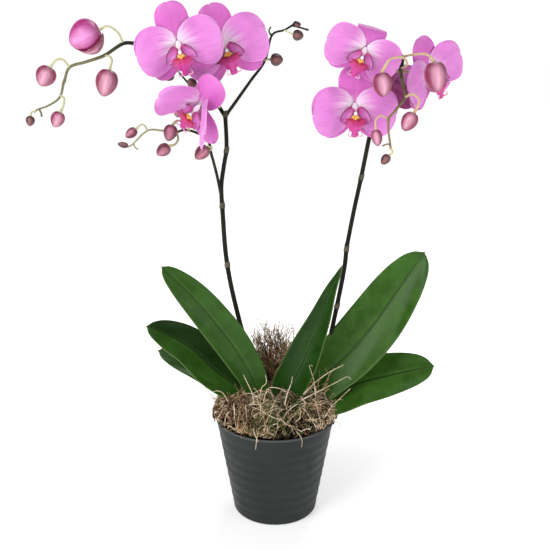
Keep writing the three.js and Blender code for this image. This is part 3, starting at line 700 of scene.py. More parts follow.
def pod(foot, tip, width, seam_turn):
    """A plump bud between its foot and its tip, widest near the foot. Its UV's v runs to the tip."""
    length = (tip - foot).length
    bm = blade_grid(42, 24)
    for vert in bm.verts:
        turn = (1 + vert.co.x) * math.pi
        along = (1 - math.cos((1 + vert.co.y) * math.pi / 2)) / 2
        swell = math.sin(math.pi * along ** 0.84) ** 0.56
        plate = abs(math.sin(1.5 * (turn + seam_turn)))
        groove = math.exp(-((plate / 0.13) ** 2)) * min(1.0, 4 * along)
        squeeze = 0.93 + 0.07 * plate - 0.06 * groove
        keel = 0.16 * along ** 3 * (plate - 0.6)
        radius = width / 2 * swell * (squeeze + keel)
        dimple = 0.07 * length * math.exp(-((radius / (0.22 * width)) ** 2)) * (1 - along) ** 8
        vert.co = Vector((radius * math.cos(turn), radius * math.sin(turn), length * along + dimple))
    bmesh.ops.remove_doubles(bm, verts=bm.verts, dist=0.01 * MM)
    bmesh.ops.recalc_face_normals(bm, faces=bm.faces)
    turn = Vector((0, 0, 1)).rotation_difference((tip - foot).normalized()).to_matrix().to_4x4()
    bm.transform(Matrix.Translation(foot) @ turn)
    return bm


def parted_sepal(foot, tip, width, towards):
    """An outer sepal that has sprung a little away from an opening bud, hinged at its foot."""
    length = (tip - foot).length
    bm = blade_grid(14, 16)
    for vert in bm.verts:
        u, along = vert.co.x, 0.5 + 0.5 * vert.co.y
        swell = math.sin(math.pi * (0.04 + 0.92 * along) ** 0.84) ** 0.56
        turn = u * 1.05 * (1 - 0.35 * along ** 2)
        radius = width / 2 * (swell * 1.04 + 0.16 * along)
        height = length * (0.02 + 0.84 * along)
        vert.co = Vector((radius * math.sin(turn), -radius * math.cos(turn), height))
    axis = (tip - foot).normalized()
    out = (towards - axis * axis.dot(towards)).normalized()
    turn = Matrix((out.cross(axis) * -1, -out, axis)).transposed().to_4x4()
    bm.transform(Matrix.Translation(foot) @ turn)
    return bm


def bud_finish(name, pale, margin_and_shade, foot_colour):
    look = Finish(name, 0.42, Subsurface_Weight=0.1, Subsurface_Scale=1.5 * MM)
    look.shader.inputs["Subsurface Radius"].default_value = (1.0, 0.5, 0.6)
    place, u, v, _ = look.sheet()
    streak = look.noise(14, 4, look.stretched((3.6, 0.3, 1), place))
    turn = look.put("Attribute", attribute_name="seam_turn").outputs["Fac"]
    third = look.math("FRACT", look.math("ADD", look.math("MULTIPLY", u, 3.0), turn))
    from_seam = look.math("SUBTRACT", 0.5, look.math("ABSOLUTE", look.math("SUBTRACT", third, 0.5)))
    ragged = look.math("MULTIPLY", look.math("SUBTRACT", streak, 0.5), 0.16)
    reach = look.math("ADD", from_seam, ragged)
    middle_tone = tuple(0.45 * light + 0.55 * dark for light, dark in zip(pale, margin_and_shade))
    colour = look.mix(look.span(reach, 0.05, 0.30), margin_and_shade, middle_tone)
    colour = look.mix(look.span(reach, 0.24, 0.5), colour, pale)
    colour = look.mix(look.span(streak, 0.5, 0.66, 0.0, 0.75), colour, middle_tone)
    colour = look.mix(look.span(v, 0.0, 0.14, 0.9, 0.0), colour, foot_colour)
    # Painted shade: the crimson deepens towards the foot and the tip, where the pod rounds away from the
    # light. The seams keep the tepals' own crimson margins.
    colour = look.mix(look.span(v, 0.10, 0.40, 0.8, 0.0), colour, margin_and_shade)
    colour = look.mix(look.span(v, 0.66, 1.0, 0.0, 0.9), colour, margin_and_shade)
    return look.done(colour, None, look.bump(streak, 0.2, 0.3 * MM))


rosy = bud_finish("rosy_bud", (0.74, 0.36, 0.50), (0.22, 0.012, 0.06), (0.26, 0.12, 0.08))
dusky = bud_finish("dusky_bud", (0.50, 0.17, 0.25), (0.11, 0.012, 0.035), (0.20, 0.12, 0.06))
unripe = bud_finish("unripe_bud", (0.26, 0.11, 0.10), (0.045, 0.012, 0.014), (0.10, 0.08, 0.03))
magenta = bud_finish("opening_bud", (0.74, 0.28, 0.60), (0.42, 0.02, 0.19), (0.40, 0.10, 0.14))
SMALL_BUDS = ("bud_right_05", *(f"bud_left_{number:02}" for number in (5, 6, 7, 13, 14)))
DUSKY_BUDS = [f"bud_left_{number:02}" for number in range(8, 13)]
dice = random.Random(5)
for node in BUD_PEDICELS:
    foot, tip, width = bud_frame(node)
    look = unripe if node in SMALL_BUDS else dusky if node in DUSKY_BUDS else rosy
    if node == "bud_left_01":
        look = magenta
        sprung = parted_sepal(foot, tip, width, Vector((0.9, 0.15, -0.5)))
        thicken(add_piece("parted_sepal", sprung, [rosy], "bud"), 0.9 * MM)
    upright = Vector((0, 0, 1)).rotation_difference(tip - foot)
    front = upright.inverted() @ Vector((0, -1, 0))
    seam_turn = math.pi / 3 - math.atan2(front.y, front.x) + dice.uniform(-0.3, 0.3)
    piece = add_piece("pod_" + node, pod(foot, tip, width, seam_turn), [look],
                      "bud_small" if node in SMALL_BUDS else "bud", node)
    marks = piece.data.attributes.new("seam_turn", "FLOAT", "POINT")
    for mark in marks.data:
        mark.value = 3 * seam_turn / (2 * math.pi)

# The two youngest buds sit straight on the ends of the left spike's arms: foot, tip and width.
TINY_BUDS = (((-143.5, -21, 407.5), (-154, -22, 410), 6), ((18.5, 12, 523), (25.5, 12, 521.5), 6))
for number, (*ends, width) in enumerate(TINY_BUDS, 1):
    piece = add_piece(f"tiny_bud_{number}", pod(*millimetres(ends), width * MM, 0), [unripe], "bud_small")
    piece.data.attributes.new("seam_turn", "FLOAT", "POINT")

# ------------------------------
# The open flowers: two broad petals and three narrower sepals, thin and a little ruffled, in
# orchid pink with a white flush at the centre. They grow flat from a small hub.

SEPAL_BACK = 1.3 * MM
SEPAL_LENGTH = 40 * MM
DORSAL_WIDTH = 32 * MM
LATERAL_WIDTH = 27 * MM
LATERAL_TURN = math.radians(130)
SEPAL_THICKNESS = 0.7 * MM
PETAL_LENGTH = 38.5 * MM
PETAL_WIDTH = 47 * MM
PETAL_THICKNESS = 0.75 * MM
FOLD_SLANT = 0.15


def tepal(length, width, bow, cup, root, lean, ruffle, seed, upper=0, shoulder=0.0):
    """A petal or sepal standing along +Z with its face towards -Y, and its UV as for a leaf.

    Root is how far into the sine arch of its outline it begins, and lean moves the widest part
    towards the root. Upper is the side with the shoulder, which reaches back past the root."""
    tip = 0.05
    bm = blade_grid(26, 28)
    for vert in bm.verts:
        u, progress = vert.co.x, 0.5 + 0.5 * vert.co.y
        theta = root + progress * (math.pi - root - tip)
        along = (1 - math.cos(theta)) / 2
        high = max(0.0, u * upper)
        low = max(0.0, -u * upper)
        full = math.sin(theta) ** 0.8 * (1 - lean * math.cos(theta) * (1 - 0.8 * high))
        half = 0.5 * width * full
        edge = abs(u) ** 2.5
        y = bow * along * along + cup * (1 - u * u) * math.sin(theta)
        y += ruffle * (0.25 + 0.75 * edge) * noise.noise(Vector((u * 1.7 + seed, along * 3.0, seed)))
        y += 0.5 * ruffle * along * math.sin(7 * u + 5 * along + seed) * (0.15 + edge)
        y += 0.7 * MM * math.exp(-((u * half / (2.2 * MM)) ** 2)) * (1 - 0.7 * along)
        z = length * (along - shoulder * high * (1 - along) ** 1.5 + 0.25 * shoulder * low * (1 - along))
        z -= 0.9 * MM * math.exp(-((u / 0.16) ** 2)) * along ** 12
        vert.co = Vector((u * half, y, z))
    return bm


def fold_back(blade, fold, radius, limit):
    """Rolls the far end of a blade backwards over a slanting line across it."""
    for vert in blade.verts:
        fold_here = fold + FOLD_SLANT * vert.co.x
        past = vert.co.z - fold_here
        if past > 0:
            bend = min(past / radius, limit)
            rest = past - bend * radius
            vert.co.y += radius * (1 - math.cos(bend)) + rest * math.sin(bend)
            vert.co.z = fold_here + radius * math.sin(bend) + rest * math.cos(bend)


def sepal_set(key, placing):
    """The dorsal sepal and the two lateral ones. One flower's dorsal sepal is folded back."""
    blades = []
    shapes = ((0, DORSAL_WIDTH), (LATERAL_TURN, LATERAL_WIDTH), (-LATERAL_TURN, LATERAL_WIDTH))
    for index, (turn, width) in enumerate(shapes):
        seed = ord(key) + 2.3 * index
        blade = tepal(SEPAL_LENGTH, width, 1.5 * MM, -1.5 * MM, 0.2, 0.14, 1.8 * MM, seed)
        if key == "d" and index == 0:
            fold_back(blade, 13 * MM, 9 * MM, 1.8)
        turned = Matrix.Rotation(turn, 4, "Y")
        blade.transform(placing @ Matrix.Translation((0, SEPAL_BACK, 0)) @ turned)
        blades.append(blade)
    return merged(*blades)


def ball(around, up, place):
    """A closed round body. place() takes each point of a unit ball to its place in millimetres."""
    bm = bmesh.new()
    bmesh.ops.create_uvsphere(bm, u_segments=around, v_segments=up, radius=1)
    for vert in bm.verts:
        vert.co = Vector(place(*vert.co)) * MM
    bmesh.ops.recalc_face_normals(bm, faces=bm.faces)
    return bm


def hub_place(x, y, z):
    """The hub: a ball behind the sepals, drawn out backwards, with three shallow lobes."""
    return 2.7 * x * (1 + 0.06 * math.cos(3 * math.atan2(z, x))), 3.2 + 3.375 * y, 2.7 * z


# A petal of the frame: where its root is, how far its middle lies along it, and its middle's depth.
PETAL_ROOT = Vector((3.4, -1, 0)) * MM
PETAL_REACH = 18.9 * MM
FLAT_PETAL_DEPTH = -1.75 * MM


def petal_blade(key, side, placing):
    """One petal, turned as the frame has it: drooping from level, and folded forward by its cup."""
    word = "left" if side < 0 else "right"
    middle = placing.inverted() @ middle_of(f"flower_{key}_petal_{word}")
    cup = math.asin(max(0.0, min(1.0, (FLAT_PETAL_DEPTH - middle.y) / PETAL_REACH)))
    root = PETAL_ROOT.copy()
    root.x += 4 * MM * math.sin(cup)
    droop = math.atan2(-middle.z, side * middle.x - root.x)
    seed = ord(key) * 1.7 + 3 * side
    blade = tepal(PETAL_LENGTH, PETAL_WIDTH, -2 * MM, -3.2 * MM, 0.17, 0.22, 2.8 * MM, seed, -side, 0.09)
    root.x *= side
    outward = Matrix.Rotation(side * (math.pi / 2 + droop), 4, "Y")
    blade.transform(placing @ Matrix.Translation(root) @ outward @ Matrix.Rotation(cup, 4, "X"))
    return blade


def tepal_finish(name, face, rim, throat, vein, reach, vein_strength):
    """Thin, softly glowing flesh with fine veins, a thin paler rim and a white flush at the root."""
    look = Finish(name, 0.5, Subsurface_Weight=0.2, Subsurface_Scale=1.5 * MM, Sheen_Weight=0.1,
                  Specular_IOR_Level=0.3)
    look.shader.inputs["Subsurface Radius"].default_value = (1.0, 0.5, 0.9)
    place, u, v, out = look.sheet()
    deeper = tuple(0.86 * channel for channel in face)
    colour = look.mix(look.span(look.noise(60, 3), 0.35, 0.7), face, deeper)
    fine_fan = look.stretched((1, 0.05, 1), place)
    veins = look.span(look.noise(38, 4, fine_fan), 0.5, 0.68)
    colour = look.mix(look.math("MULTIPLY", veins, vein_strength), colour, vein)
    colour = look.mix(look.span(v, 0.55, 1.0, 0.0, 0.35), colour, rim)
    edge = look.math("MAXIMUM", look.span(out, 0.47, 0.5, 0.0, 0.7), look.span(v, 0.975, 1.0, 0.0, 0.7))
    colour = look.mix(edge, colour, rim)
    rays = look.math("MULTIPLY", look.math("SUBTRACT", look.noise(16, 3, fine_fan), 0.5), 0.5)
    flush = look.math("ADD", look.math("ADD", v, rays), look.math("MULTIPLY", out, 0.35))
    colour = look.mix(look.span(flush, 0.02, reach, 0.96, 0.0), colour, throat)
    middle, fading = look.span(out, 0.0, 0.018, 1.0, 0.0), look.span(v, 0.1, 0.85, 0.4, 0.0)
    colour = look.mix(look.math("MULTIPLY", middle, fading), colour, vein)
    fine = look.bump(look.noise(800, 2), 0.08, 0.1 * MM)
    return look.done(colour, None, look.bump(veins, 0.2, 0.25 * MM, fine))


petal_face = tepal_finish("petal_face", (0.69, 0.22, 0.62), (0.78, 0.42, 0.74), (0.92, 0.84, 0.91),
                          (0.60, 0.11, 0.48), 0.52, 0.45)
sepal_face = tepal_finish("sepal_face", (0.64, 0.145, 0.53), (0.72, 0.30, 0.64), (0.90, 0.78, 0.88),
                          (0.50, 0.06, 0.36), 0.38, 0.45)
# The sepals' backs: a darker copy of the sepal face, painted shade for backs that turn away from the light.
sepal_back_shade = tepal_finish("sepal_back_shade", (0.30, 0.045, 0.18), (0.42, 0.12, 0.32), (0.22, 0.07, 0.08),
                          (0.14, 0.015, 0.06), 0.45, 0.5)
petal_back = tepal_finish("petal_back", (0.60, 0.20, 0.52), (0.72, 0.34, 0.66), (0.56, 0.34, 0.46),
                          (0.32, 0.05, 0.24), 0.4, 0.5)
hub_skin = stem_finish("hub_skin", (0.36, 0.14, 0.16), (0.40, 0.22, 0.18), Z, 0.44, 0.51, (0.5, 0.32, 0.25))

for key, placing in FLOWER_PLACINGS.items():
    sepals = add_piece(f"sepals_{key}", sepal_set(key, placing), [sepal_face, sepal_back_shade], "sepal",
                       f"flower_{key}_sepals")
    thicken(sepals, SEPAL_THICKNESS, back_slot=1)
    hub = ball(24, 14, hub_place)
    hub.transform(placing)
    add_piece(f"hub_{key}", hub, [hub_skin], "sepal")
    for side, word in ((-1, "left"), (1, "right")):
        petal = add_piece(f"petal_{word}_{key}", petal_blade(key, side, placing), [petal_face, petal_back],
                          "petal", f"flower_{key}_petal_{word}")
        thicken(petal, PETAL_THICKNESS, back_slot=1)

# ------------------------------
# The lips: each open flower's third petal. A crimson middle lobe tapers to an anchor with two fine
# tendrils, and a magenta ear flares from each side of the speckled orange callus. The white waxy
# column stands over them.

LIP_THICKNESS = 0.8 * MM
# Along the middle lobe: how far, then its half width in millimetres, or its line's Y and Z.
LOBE_HALF_WIDTHS = (
    (0, 4), (0.1, 7), (0.28, 11.4), (0.44, 10.8), (0.66, 6), (0.83, 3.1), (0.94, 3.6), (1, 1.4),
)
LOBE_LINE = (
    (0, -7, -9), (0.25, -12.5, -11.5), (0.5, -13.6, -16.5), (0.75, -12, -22), (1, -10.6, -27.5),
)


def read_table(table, at):
    """The values of a table at a place between its rows, eased from row to row."""
    for near, far in zip(table, table[1:]):
        if at <= far[0]:
            share = (at - near[0]) / (far[0] - near[0])
            share = share * share * (3 - 2 * share)
            return [low + (high - low) * share for low, high in zip(near[1:], far[1:])]
    return list(table[-1][1:])


def middle_lobe():
    bm = blade_grid(20, 30)
    for vert in bm.verts:
        u, v = vert.co.x, 0.5 + 0.5 * vert.co.y
        half, = read_table(LOBE_HALF_WIDTHS, v)
        y, z = read_table(LOBE_LINE, v)
        y += (2.6 * u * u - 1.2 * (1 - u * u)) * min(1.0, 3 * v) * (1.1 - 0.5 * v)
        z += 1.6 * u * u * (1 - v)
        y += 0.5 * math.sin(8 * v + 3 * u) * abs(u)
        vert.co = Vector((u * half, y, z)) * MM
    return bm


def side_lobe(side):
    """An ear: a hollowed oval that slants outwards and down from beside the column."""
    bm = blade_grid(16, 18)
    top, foot = Vector((side * 2.8, -7.5, 0.8)), Vector((side * 13.5, -10.8, -13.0))
    front = Vector((0, -1, 0))
    across = (foot - top).cross(front).normalized() * side
    for vert in bm.verts:
        u, v = vert.co.x, 0.5 + 0.5 * vert.co.y
        theta = 0.3 + v * (math.pi - 0.4)
        half = 4.7 * math.sin(theta) ** 0.75
        forward = 2.6 * u * u + (0.8 * u - 1.2) * math.sin(theta) + 0.3 * math.sin(9 * v + u)
        middle = top.lerp(foot, (1 - math.cos(theta)) / 2)
        vert.co = (middle + across * (u * half) + front * forward) * MM
    return bm


def tendril(side):
    """A thread from a corner of the lip's anchor that sweeps outwards and curls back up."""
    strand = []
    for i in range(20):
        t = i / 19
        turn = 3.6 * t
        radius = 4.6 - 2.4 * t
        x = side * (2.2 + radius * math.sin(turn * 0.8) + 2.4 * t)
        y = -10.8 - 1.8 * math.sin(turn)
        z = -26.2 - 0.8 * math.sin(turn * 0.8) + 7.0 * t * t - 1.6 * t * t * t
        strand.append((Vector((x, y, z)) * MM, (0.7 - 0.42 * t) * MM))
    return strand


# The middle and the radius of each knob of the callus, in millimetres.
CALLUS_KNOBS = (
    ((-1.7, -9.6, -8.4), 2.1), ((1.7, -9.6, -8.4), 2.1), ((0.0, -8.8, -6.6), 1.7),
    ((-3.9, -9.2, -9.0), 1.5), ((3.9, -9.2, -9.0), 1.5), ((0.0, -10.8, -10.2), 1.7),
)


def callus_knob(middle, radius):
    middle = Vector(middle)

    def lumpy(*point):
        point = Vector(point)
        return middle + point * radius * (1 + 0.16 * noise.noise(point * 2 + middle))

    return ball(18, 12, lumpy)


def column_place(across, thick, along):
    """The column: a waxy finger that leans forward and widens into a rounded hood."""
    t = 0.5 - 0.5 * along
    broad = 1 + 0.3 * t ** 3
    y = -2.0 - 7.4 * t - t * t + thick * 1.1 * broad
    z = 4.2 - 9.6 * t + thick * 1.9 * broad
    return across * 2.7 * broad, y, z


def cap_place(x, y, z):
    return x * 1.8, -10.8 + y * 1.3, -4.8 + z * 1.9


def lobe_finish(name, top, low, margin_and_shade, root):
    look = Finish(name, 0.42, Subsurface_Weight=0.1, Subsurface_Scale=1.2 * MM)
    place, u, v, out = look.sheet()
    colour = look.mix(look.span(v, 0.12, 0.62), top, low)
    stripes = look.noise(24, 3, look.stretched((1, 0.08, 1), place))
    # On the middle lobe this colour is its own paler margin; on the ears it is painted shade along the
    # curled edges.
    colour = look.mix(look.span(stripes, 0.5, 0.64, 0.0, 0.45), colour, margin_and_shade)
    colour = look.mix(look.span(out, 0.36, 0.5, 0.0, 0.85), colour, margin_and_shade)
    colour = look.mix(look.span(v, 0.0, 0.2, 0.85, 0.0), colour, root)
    return look.done(colour, None, look.bump(look.noise(260, 3), 0.15, 0.4 * MM))


def callus_finish():
    look = Finish("orange_callus", 0.35, Subsurface_Weight=0.08, Subsurface_Scale=1 * MM)
    wax = look.mix(look.noise(500, 2), (0.80, 0.36, 0.05), (0.88, 0.58, 0.16))
    colour = look.mix(look.span(look.noise(1100, 2), 0.54, 0.62, 0.0, 0.9), wax, (0.42, 0.025, 0.03))
    return look.done(colour, None, look.bump(look.noise(1200, 2), 0.3, 0.25 * MM))


def waxy_finish(name, first, second):
    look = Finish(name, 0.38, Subsurface_Weight=0.15, Subsurface_Scale=1.5 * MM)
    colour = look.mix(look.span(look.noise(260, 3), 0.35, 0.7), first, second)
    return look.done(colour, None, look.bump(look.noise(900, 2), 0.1, 0.15 * MM))


crimson = lobe_finish("crimson_lobe", (0.40, 0.006, 0.03), (0.54, 0.03, 0.26), (0.64, 0.10, 0.42),
                      (0.66, 0.16, 0.03))
# The ears' near-black margin colour, at their curled edges and in their streaks, is painted shade.
ear_skin = lobe_finish("magenta_ear", (0.46, 0.05, 0.28), (0.60, 0.17, 0.50), (0.12, 0.005, 0.04),
                       (0.46, 0.04, 0.13))
callus_wax = callus_finish()
column_wax = waxy_finish("column_wax", (0.86, 0.68, 0.82), (0.90, 0.82, 0.89))
cap_wax = waxy_finish("cap_wax", (0.90, 0.86, 0.88), (0.86, 0.76, 0.84))
tendril_skin = waxy_finish("tendril_skin", (0.82, 0.50, 0.68), (0.66, 0.18, 0.42))
for key, placing in FLOWER_PLACINGS.items():
    for name, bm, look, wall in (
        (f"lip_{key}", middle_lobe(), crimson, LIP_THICKNESS),
        (f"ears_{key}", merged(side_lobe(-1), side_lobe(1)), ear_skin, LIP_THICKNESS),
        (f"tendrils_{key}", strand_mesh([tendril(-1), tendril(1)], 1), tendril_skin, 0),
        (f"callus_{key}", merged(*(callus_knob(*knob) for knob in CALLUS_KNOBS)), callus_wax, 0),
        (f"column_{key}", ball(28, 22, column_place), column_wax, 0),
        (f"anther_cap_{key}", ball(18, 12, cap_place), cap_wax, 0),
    ):
        bm.transform(placing)
        nodes = [f"flower_{key}_lip"] if name.startswith("lip") else []
        piece = add_piece(name, bm, [look], "lip", *nodes)
        if wall:
            thicken(piece, wall)

# ------------------------------
# The moss mulch: a heap of dry, twiggy Spanish moss in tan, brown, rust and green, that hides the
# medium and bulges over the rim at both sides. It lies loose over a near-black mat, painted shade in the
# gaps between the strands.

HEAP_FOOT = POT_HEIGHT + 0.35 * MM
HEAP_RISE = 26 * MM
HEAP_BRIM = 61.2 * MM
HEAP_OVERHANG = 7 * MM
MAT_FOOT = 59 * MM
MAT_DEPTH = 12 * MM
# From the middle to the brim: how far out, then how much of the full rise is left.
HEAP_SHAPE = ((0.0, 1.0), (0.42, 1.0), (0.76, 0.85), (0.97, 0.4), (1.0, 0.1), (1.2, -0.2))


def heap_brim(angle):
    return HEAP_BRIM + HEAP_OVERHANG * math.cos(angle) ** 4


def heap_height(x, y):
    """The height of the heap's top at a place. It falls to the rim all round."""
    angle = math.atan2(y, x)
    out = math.hypot(x, y) / heap_brim(angle)
    rise, = read_table(HEAP_SHAPE, out)
    lumps = 0.3 * math.cos(angle) ** 2 - 0.12 + 0.05 * math.sin(5 * angle)
    bumpy = 2.5 * MM * noise.noise(Vector((x, y, 0)) * 60)
    return HEAP_FOOT + HEAP_RISE * rise * (1 + max(rise, 0) * lumps) + bumpy * min(1, max(0, 1 - out) * 6)


def moss_shade_mat():
    """The near-black mat, painted shade in the gaps between the strands: a lumpy dome that closes under the
    strands and sits just inside the rim.
    """
    bm = bmesh.new()
    bmesh.ops.create_circle(bm, cap_ends=False, radius=1, segments=96)
    edges = bm.edges[:]
    for vert in bm.verts:
        vert.co = Vector((vert.co.x * MAT_FOOT, vert.co.y * MAT_FOOT, POT_HEIGHT - MAT_DEPTH))
    for ring in (0.975, 0.96, 0.9, 0.82, 0.72, 0.6, 0.45, 0.3, 0.15, 0.05):
        made = bmesh.ops.extrude_edge_only(bm, edges=edges)["geom"]
        edges = [item for item in made if isinstance(item, bmesh.types.BMEdge)]
        for vert in {vert for edge in edges for vert in edge.verts}:
            angle = math.atan2(vert.co.y, vert.co.x)
            out = heap_brim(angle) * ring if ring < 0.97 else 60 * MM
            x, y = out * math.cos(angle), out * math.sin(angle)
            lumps = 1.6 * MM * noise.noise(Vector((x, y, 7 * MM)) * 160)
            height = POT_HEIGHT - 1 * MM if ring > 0.97 else heap_height(x, y) - 5 * MM + lumps
            vert.co = Vector((x, y, height))
    bmesh.ops.edgeloop_fill(bm, edges=edges)
    bmesh.ops.recalc_face_normals(bm, faces=bm.faces)
    return bm


def moss_strand(dice, x, y, heading, length, radius, lift, kink):
    """One strand that wanders over the heap in short straight runs, rising and dipping as it goes."""
    steps = max(4, round(length / (3.4 * MM)))
    wobble = dice.uniform(0, 6.28)
    wave = dice.uniform(0.5, 1.3)
    strand = []
    for i in range(steps + 1):
        t = i / steps
        dip = lift * math.sin(math.pi * t) ** 0.7 + 1.1 * MM * math.sin(wave * i + wobble)
        strand.append((Vector((x, y, heap_height(x, y) + dip)), radius * (1.0 - 0.5 * abs(2 * t - 1) ** 3)))
        heading += dice.gauss(0, kink)
        if dice.random() < 0.08:
            heading += dice.choice((-1, 1)) * 1.1
        x += math.cos(heading) * length / steps
        y += math.sin(heading) * length / steps
        angle, out = math.atan2(y, x), math.hypot(x, y)
        limit = heap_brim(angle) + 0.6 * MM
        if out > limit:
            x, y = x * limit / out, y * limit / out
            heading += dice.choice((-0.9, 0.9))
    return strand


def moss_tone(seed, count, thin, thick, lowest, highest, kink, where=None):
    dice = random.Random(seed)
    strands = []
    while len(strands) < count:
        angle, out = dice.uniform(0, 2 * math.pi), math.sqrt(dice.random())
        x, y = (heap_brim(angle) * out * turn for turn in (math.cos(angle), math.sin(angle)))
        if where and not where(x, y, dice):
            continue
        heading = dice.uniform(0, 2 * math.pi)
        if x > 12 * MM and dice.random() < 0.6:
            heading = dice.gauss(0.3, 0.5)
        length = dice.uniform(14, 46) * MM
        lift = dice.uniform(lowest, highest) * MM
        strands.append(moss_strand(dice, x, y, heading, length, dice.uniform(thin, thick) * MM, lift, kink))
    return strands


def sprig(dice, place, heading, climb, length, radius, kink):
    """A free strand that springs out of the moss, heading and climbing, with small kinks."""
    steps = max(4, round(length / (4 * MM)))
    strand = []
    place = Vector(place)
    for i in range(steps + 1):
        strand.append((place.copy(), radius * (1 - 0.6 * i / steps)))
        heading += dice.gauss(0, kink)
        climb += dice.gauss(-0.02, kink)
        place += Vector((
            math.cos(heading) * math.cos(climb), math.sin(heading) * math.cos(climb), math.sin(climb),
        )) * (length / steps)
    return strand


def sprigs(seed, count, angles, heights, lengths, radii):
    """Free strands from one side of the heap. Angles is the middle and spread of where they grow, and
    heights is the lowest and highest angle at which they climb."""
    dice = random.Random(seed)
    strands = []
    for _ in range(count):
        angle = dice.gauss(*angles)
        out = heap_brim(angle) * dice.uniform(0.55, 0.98)
        x, y = out * math.cos(angle), out * math.sin(angle)
        place = (x, y, heap_height(x, y) - 1 * MM)
        strands.append(sprig(dice, place, angle + dice.gauss(0, 0.5), dice.uniform(*heights),
                             dice.uniform(*lengths) * MM, dice.uniform(*radii) * MM, 0.22))
    return strands


def moss_finish(name, dark, light, tip):
    look = Finish(name, 0.8, Specular_IOR_Level=0.25)
    patch = look.noise(45, 3)
    fine = look.noise(480, 3)
    body = look.mix(look.span(look.math("ADD", patch, fine), 0.85, 1.15), dark, light)
    colour = look.mix(look.span(look.noise(210, 2), 0.56, 0.72), body, tip)
    return look.done(colour, None, look.bump(fine, 0.5, 0.3 * MM))


def green_patch(x, y, dice):
    return math.hypot(x + 2 * MM, y + 36 * MM) < dice.uniform(5, 32) * MM


def rust_patch(x, y, dice):
    return noise.noise(Vector((x, y, 30 * MM)) * 28) + 0.25 * dice.random() > 0.12


def shade_mat_finish():
    look = Finish("moss_shade_mat", 0.95, Specular_IOR_Level=0.1)
    # Near-black: painted shade for the gaps between the strands.
    tangle = look.noise(520, 6, distortion=1.5)
    colour = look.mix(look.span(tangle, 0.5, 0.75), (0.003, 0.002, 0.001), (0.03, 0.02, 0.01))
    return look.done(colour, None, look.bump(tangle, 0.8, 1.5 * MM))


add_piece("moss_shade_mat", moss_shade_mat(), [shade_mat_finish()], "moss", "moss_mulch")
tan_moss = moss_finish("tan_moss", (0.10, 0.05, 0.02), (0.60, 0.42, 0.24), (0.90, 0.72, 0.50))
pale_moss = moss_finish("pale_moss", (0.50, 0.38, 0.24), (0.84, 0.70, 0.50), (0.90, 0.84, 0.70))
for name, look, strands in (
    ("moss_brown",
     moss_finish("brown_moss", (0.018, 0.009, 0.005), (0.09, 0.045, 0.025), (0.22, 0.13, 0.08)),
     moss_tone(37, 230, 0.4, 0.7, -5.0, -0.5, 0.35)),
    ("moss_tan", tan_moss, moss_tone(11, 280, 0.38, 0.66, -2.5, 5.0, 0.25)),
    ("moss_pale", pale_moss, moss_tone(23, 150, 0.4, 0.7, 1.0, 6.5, 0.2)),
    ("moss_rust", moss_finish("rust_moss", (0.12, 0.04, 0.02), (0.28, 0.12, 0.07), (0.42, 0.25, 0.15)),
     moss_tone(41, 120, 0.4, 0.75, -1.5, 3.5, 0.35, rust_patch)),
    ("moss_green", moss_finish("green_moss", (0.05, 0.065, 0.016), (0.16, 0.18, 0.06), (0.32, 0.32, 0.15)),
     moss_tone(53, 95, 0.4, 0.7, -1.0, 4.0, 0.5, green_patch)),
    ("moss_sprigs_right", tan_moss, sprigs(61, 46, (-0.25, 0.55), (0.15, 0.9), (14, 38), (0.4, 0.65))),
    ("moss_sprigs_left", tan_moss, sprigs(67, 40, (3.3, 0.5), (0.0, 0.9), (8, 22), (0.25, 0.5))),
    ("moss_sprigs_back", tan_moss, sprigs(73, 24, (1.6, 0.8), (0.2, 0.9), (10, 26), (0.35, 0.6))),
    ("moss_fuzz", moss_finish("fine_moss", (0.10, 0.07, 0.04), (0.30, 0.24, 0.15), (0.45, 0.38, 0.25)),
     sprigs(79, 160, (3.2, 1.0), (-0.3, 1.0), (5, 15), (0.12, 0.22))
     + moss_tone(83, 170, 0.14, 0.26, 0, 7, 0.5)),
):
    add_piece(name, strand_mesh(strands, 0), [look], "moss")

# Loose ends that spring up before the leaves or hang over the rim: their routes, in millimetres.
LOOSE_ENDS = [
    ((-22, -40, 140), (-24, -37, 152), (-29, -35, 163), (-33, -35, 172)),
    ((-16, -38, 148), (-14, -36, 158), (-9, -35, 163), (-10, -35, 172)),
    ((-12, -44, 146), (-9, -42, 156), (-5, -40, 160), (4, -40, 159), (12, -42, 156)),
    ((10, -44, 142), (13, -41, 154), (17, -40, 165), (18, -40, 172)),
    ((43, -30, 146), (41, -26, 162), (38, -25, 172), (36, -25, 179), (40, -24, 177)),
    ((30, -34, 150), (43, -28, 161), (57, -26, 171), (72, -25, 179)),
    ((52, -44, 128), (60, -38, 138), (70, -35, 147), (79, -34, 156)),
    ((28, -40, 146), (44, -34, 152), (62, -30, 160), (76, -26, 166), (80, -26, 163)),
    ((-50, -30, 140), (-56, -26, 148), (-64, -22, 148), (-68, -18, 141)),
    ((-66, -14, 134), (-72, -8, 140), (-76, -6, 146), (-80, -4, 154)),
    ((-16, -56, 118), (-18, -63, 117), (-19, -67, 112), (-20, -67.5, 103)),
    ((-22, -54, 119), (-21, -61, 117), (-17, -66.5, 111)),
    ((22, -56, 118), (26, -63, 116), (28, -67, 111), (27, -67.5, 106)),
    ((62, 10, 134), (70, 6, 140), (76, 2, 147), (80, -2, 156)),
]
loose = [tube_along(millimetres(route), 0.55 * MM, 0.25 * MM, 3 * MM) for route in LOOSE_ENDS]
add_piece("moss_loose_ends", strand_mesh(loose, 1), [pale_moss], "moss")

# ------------------------------
# The moss tuft: a springy wisp of the same dry moss that stands up behind the crown. Its kinked
# twigs fan out from a tight foot, with side twigs that curl, and light shows between them.

TUFT_FOOT = Vector((0, 38, 133)) * MM


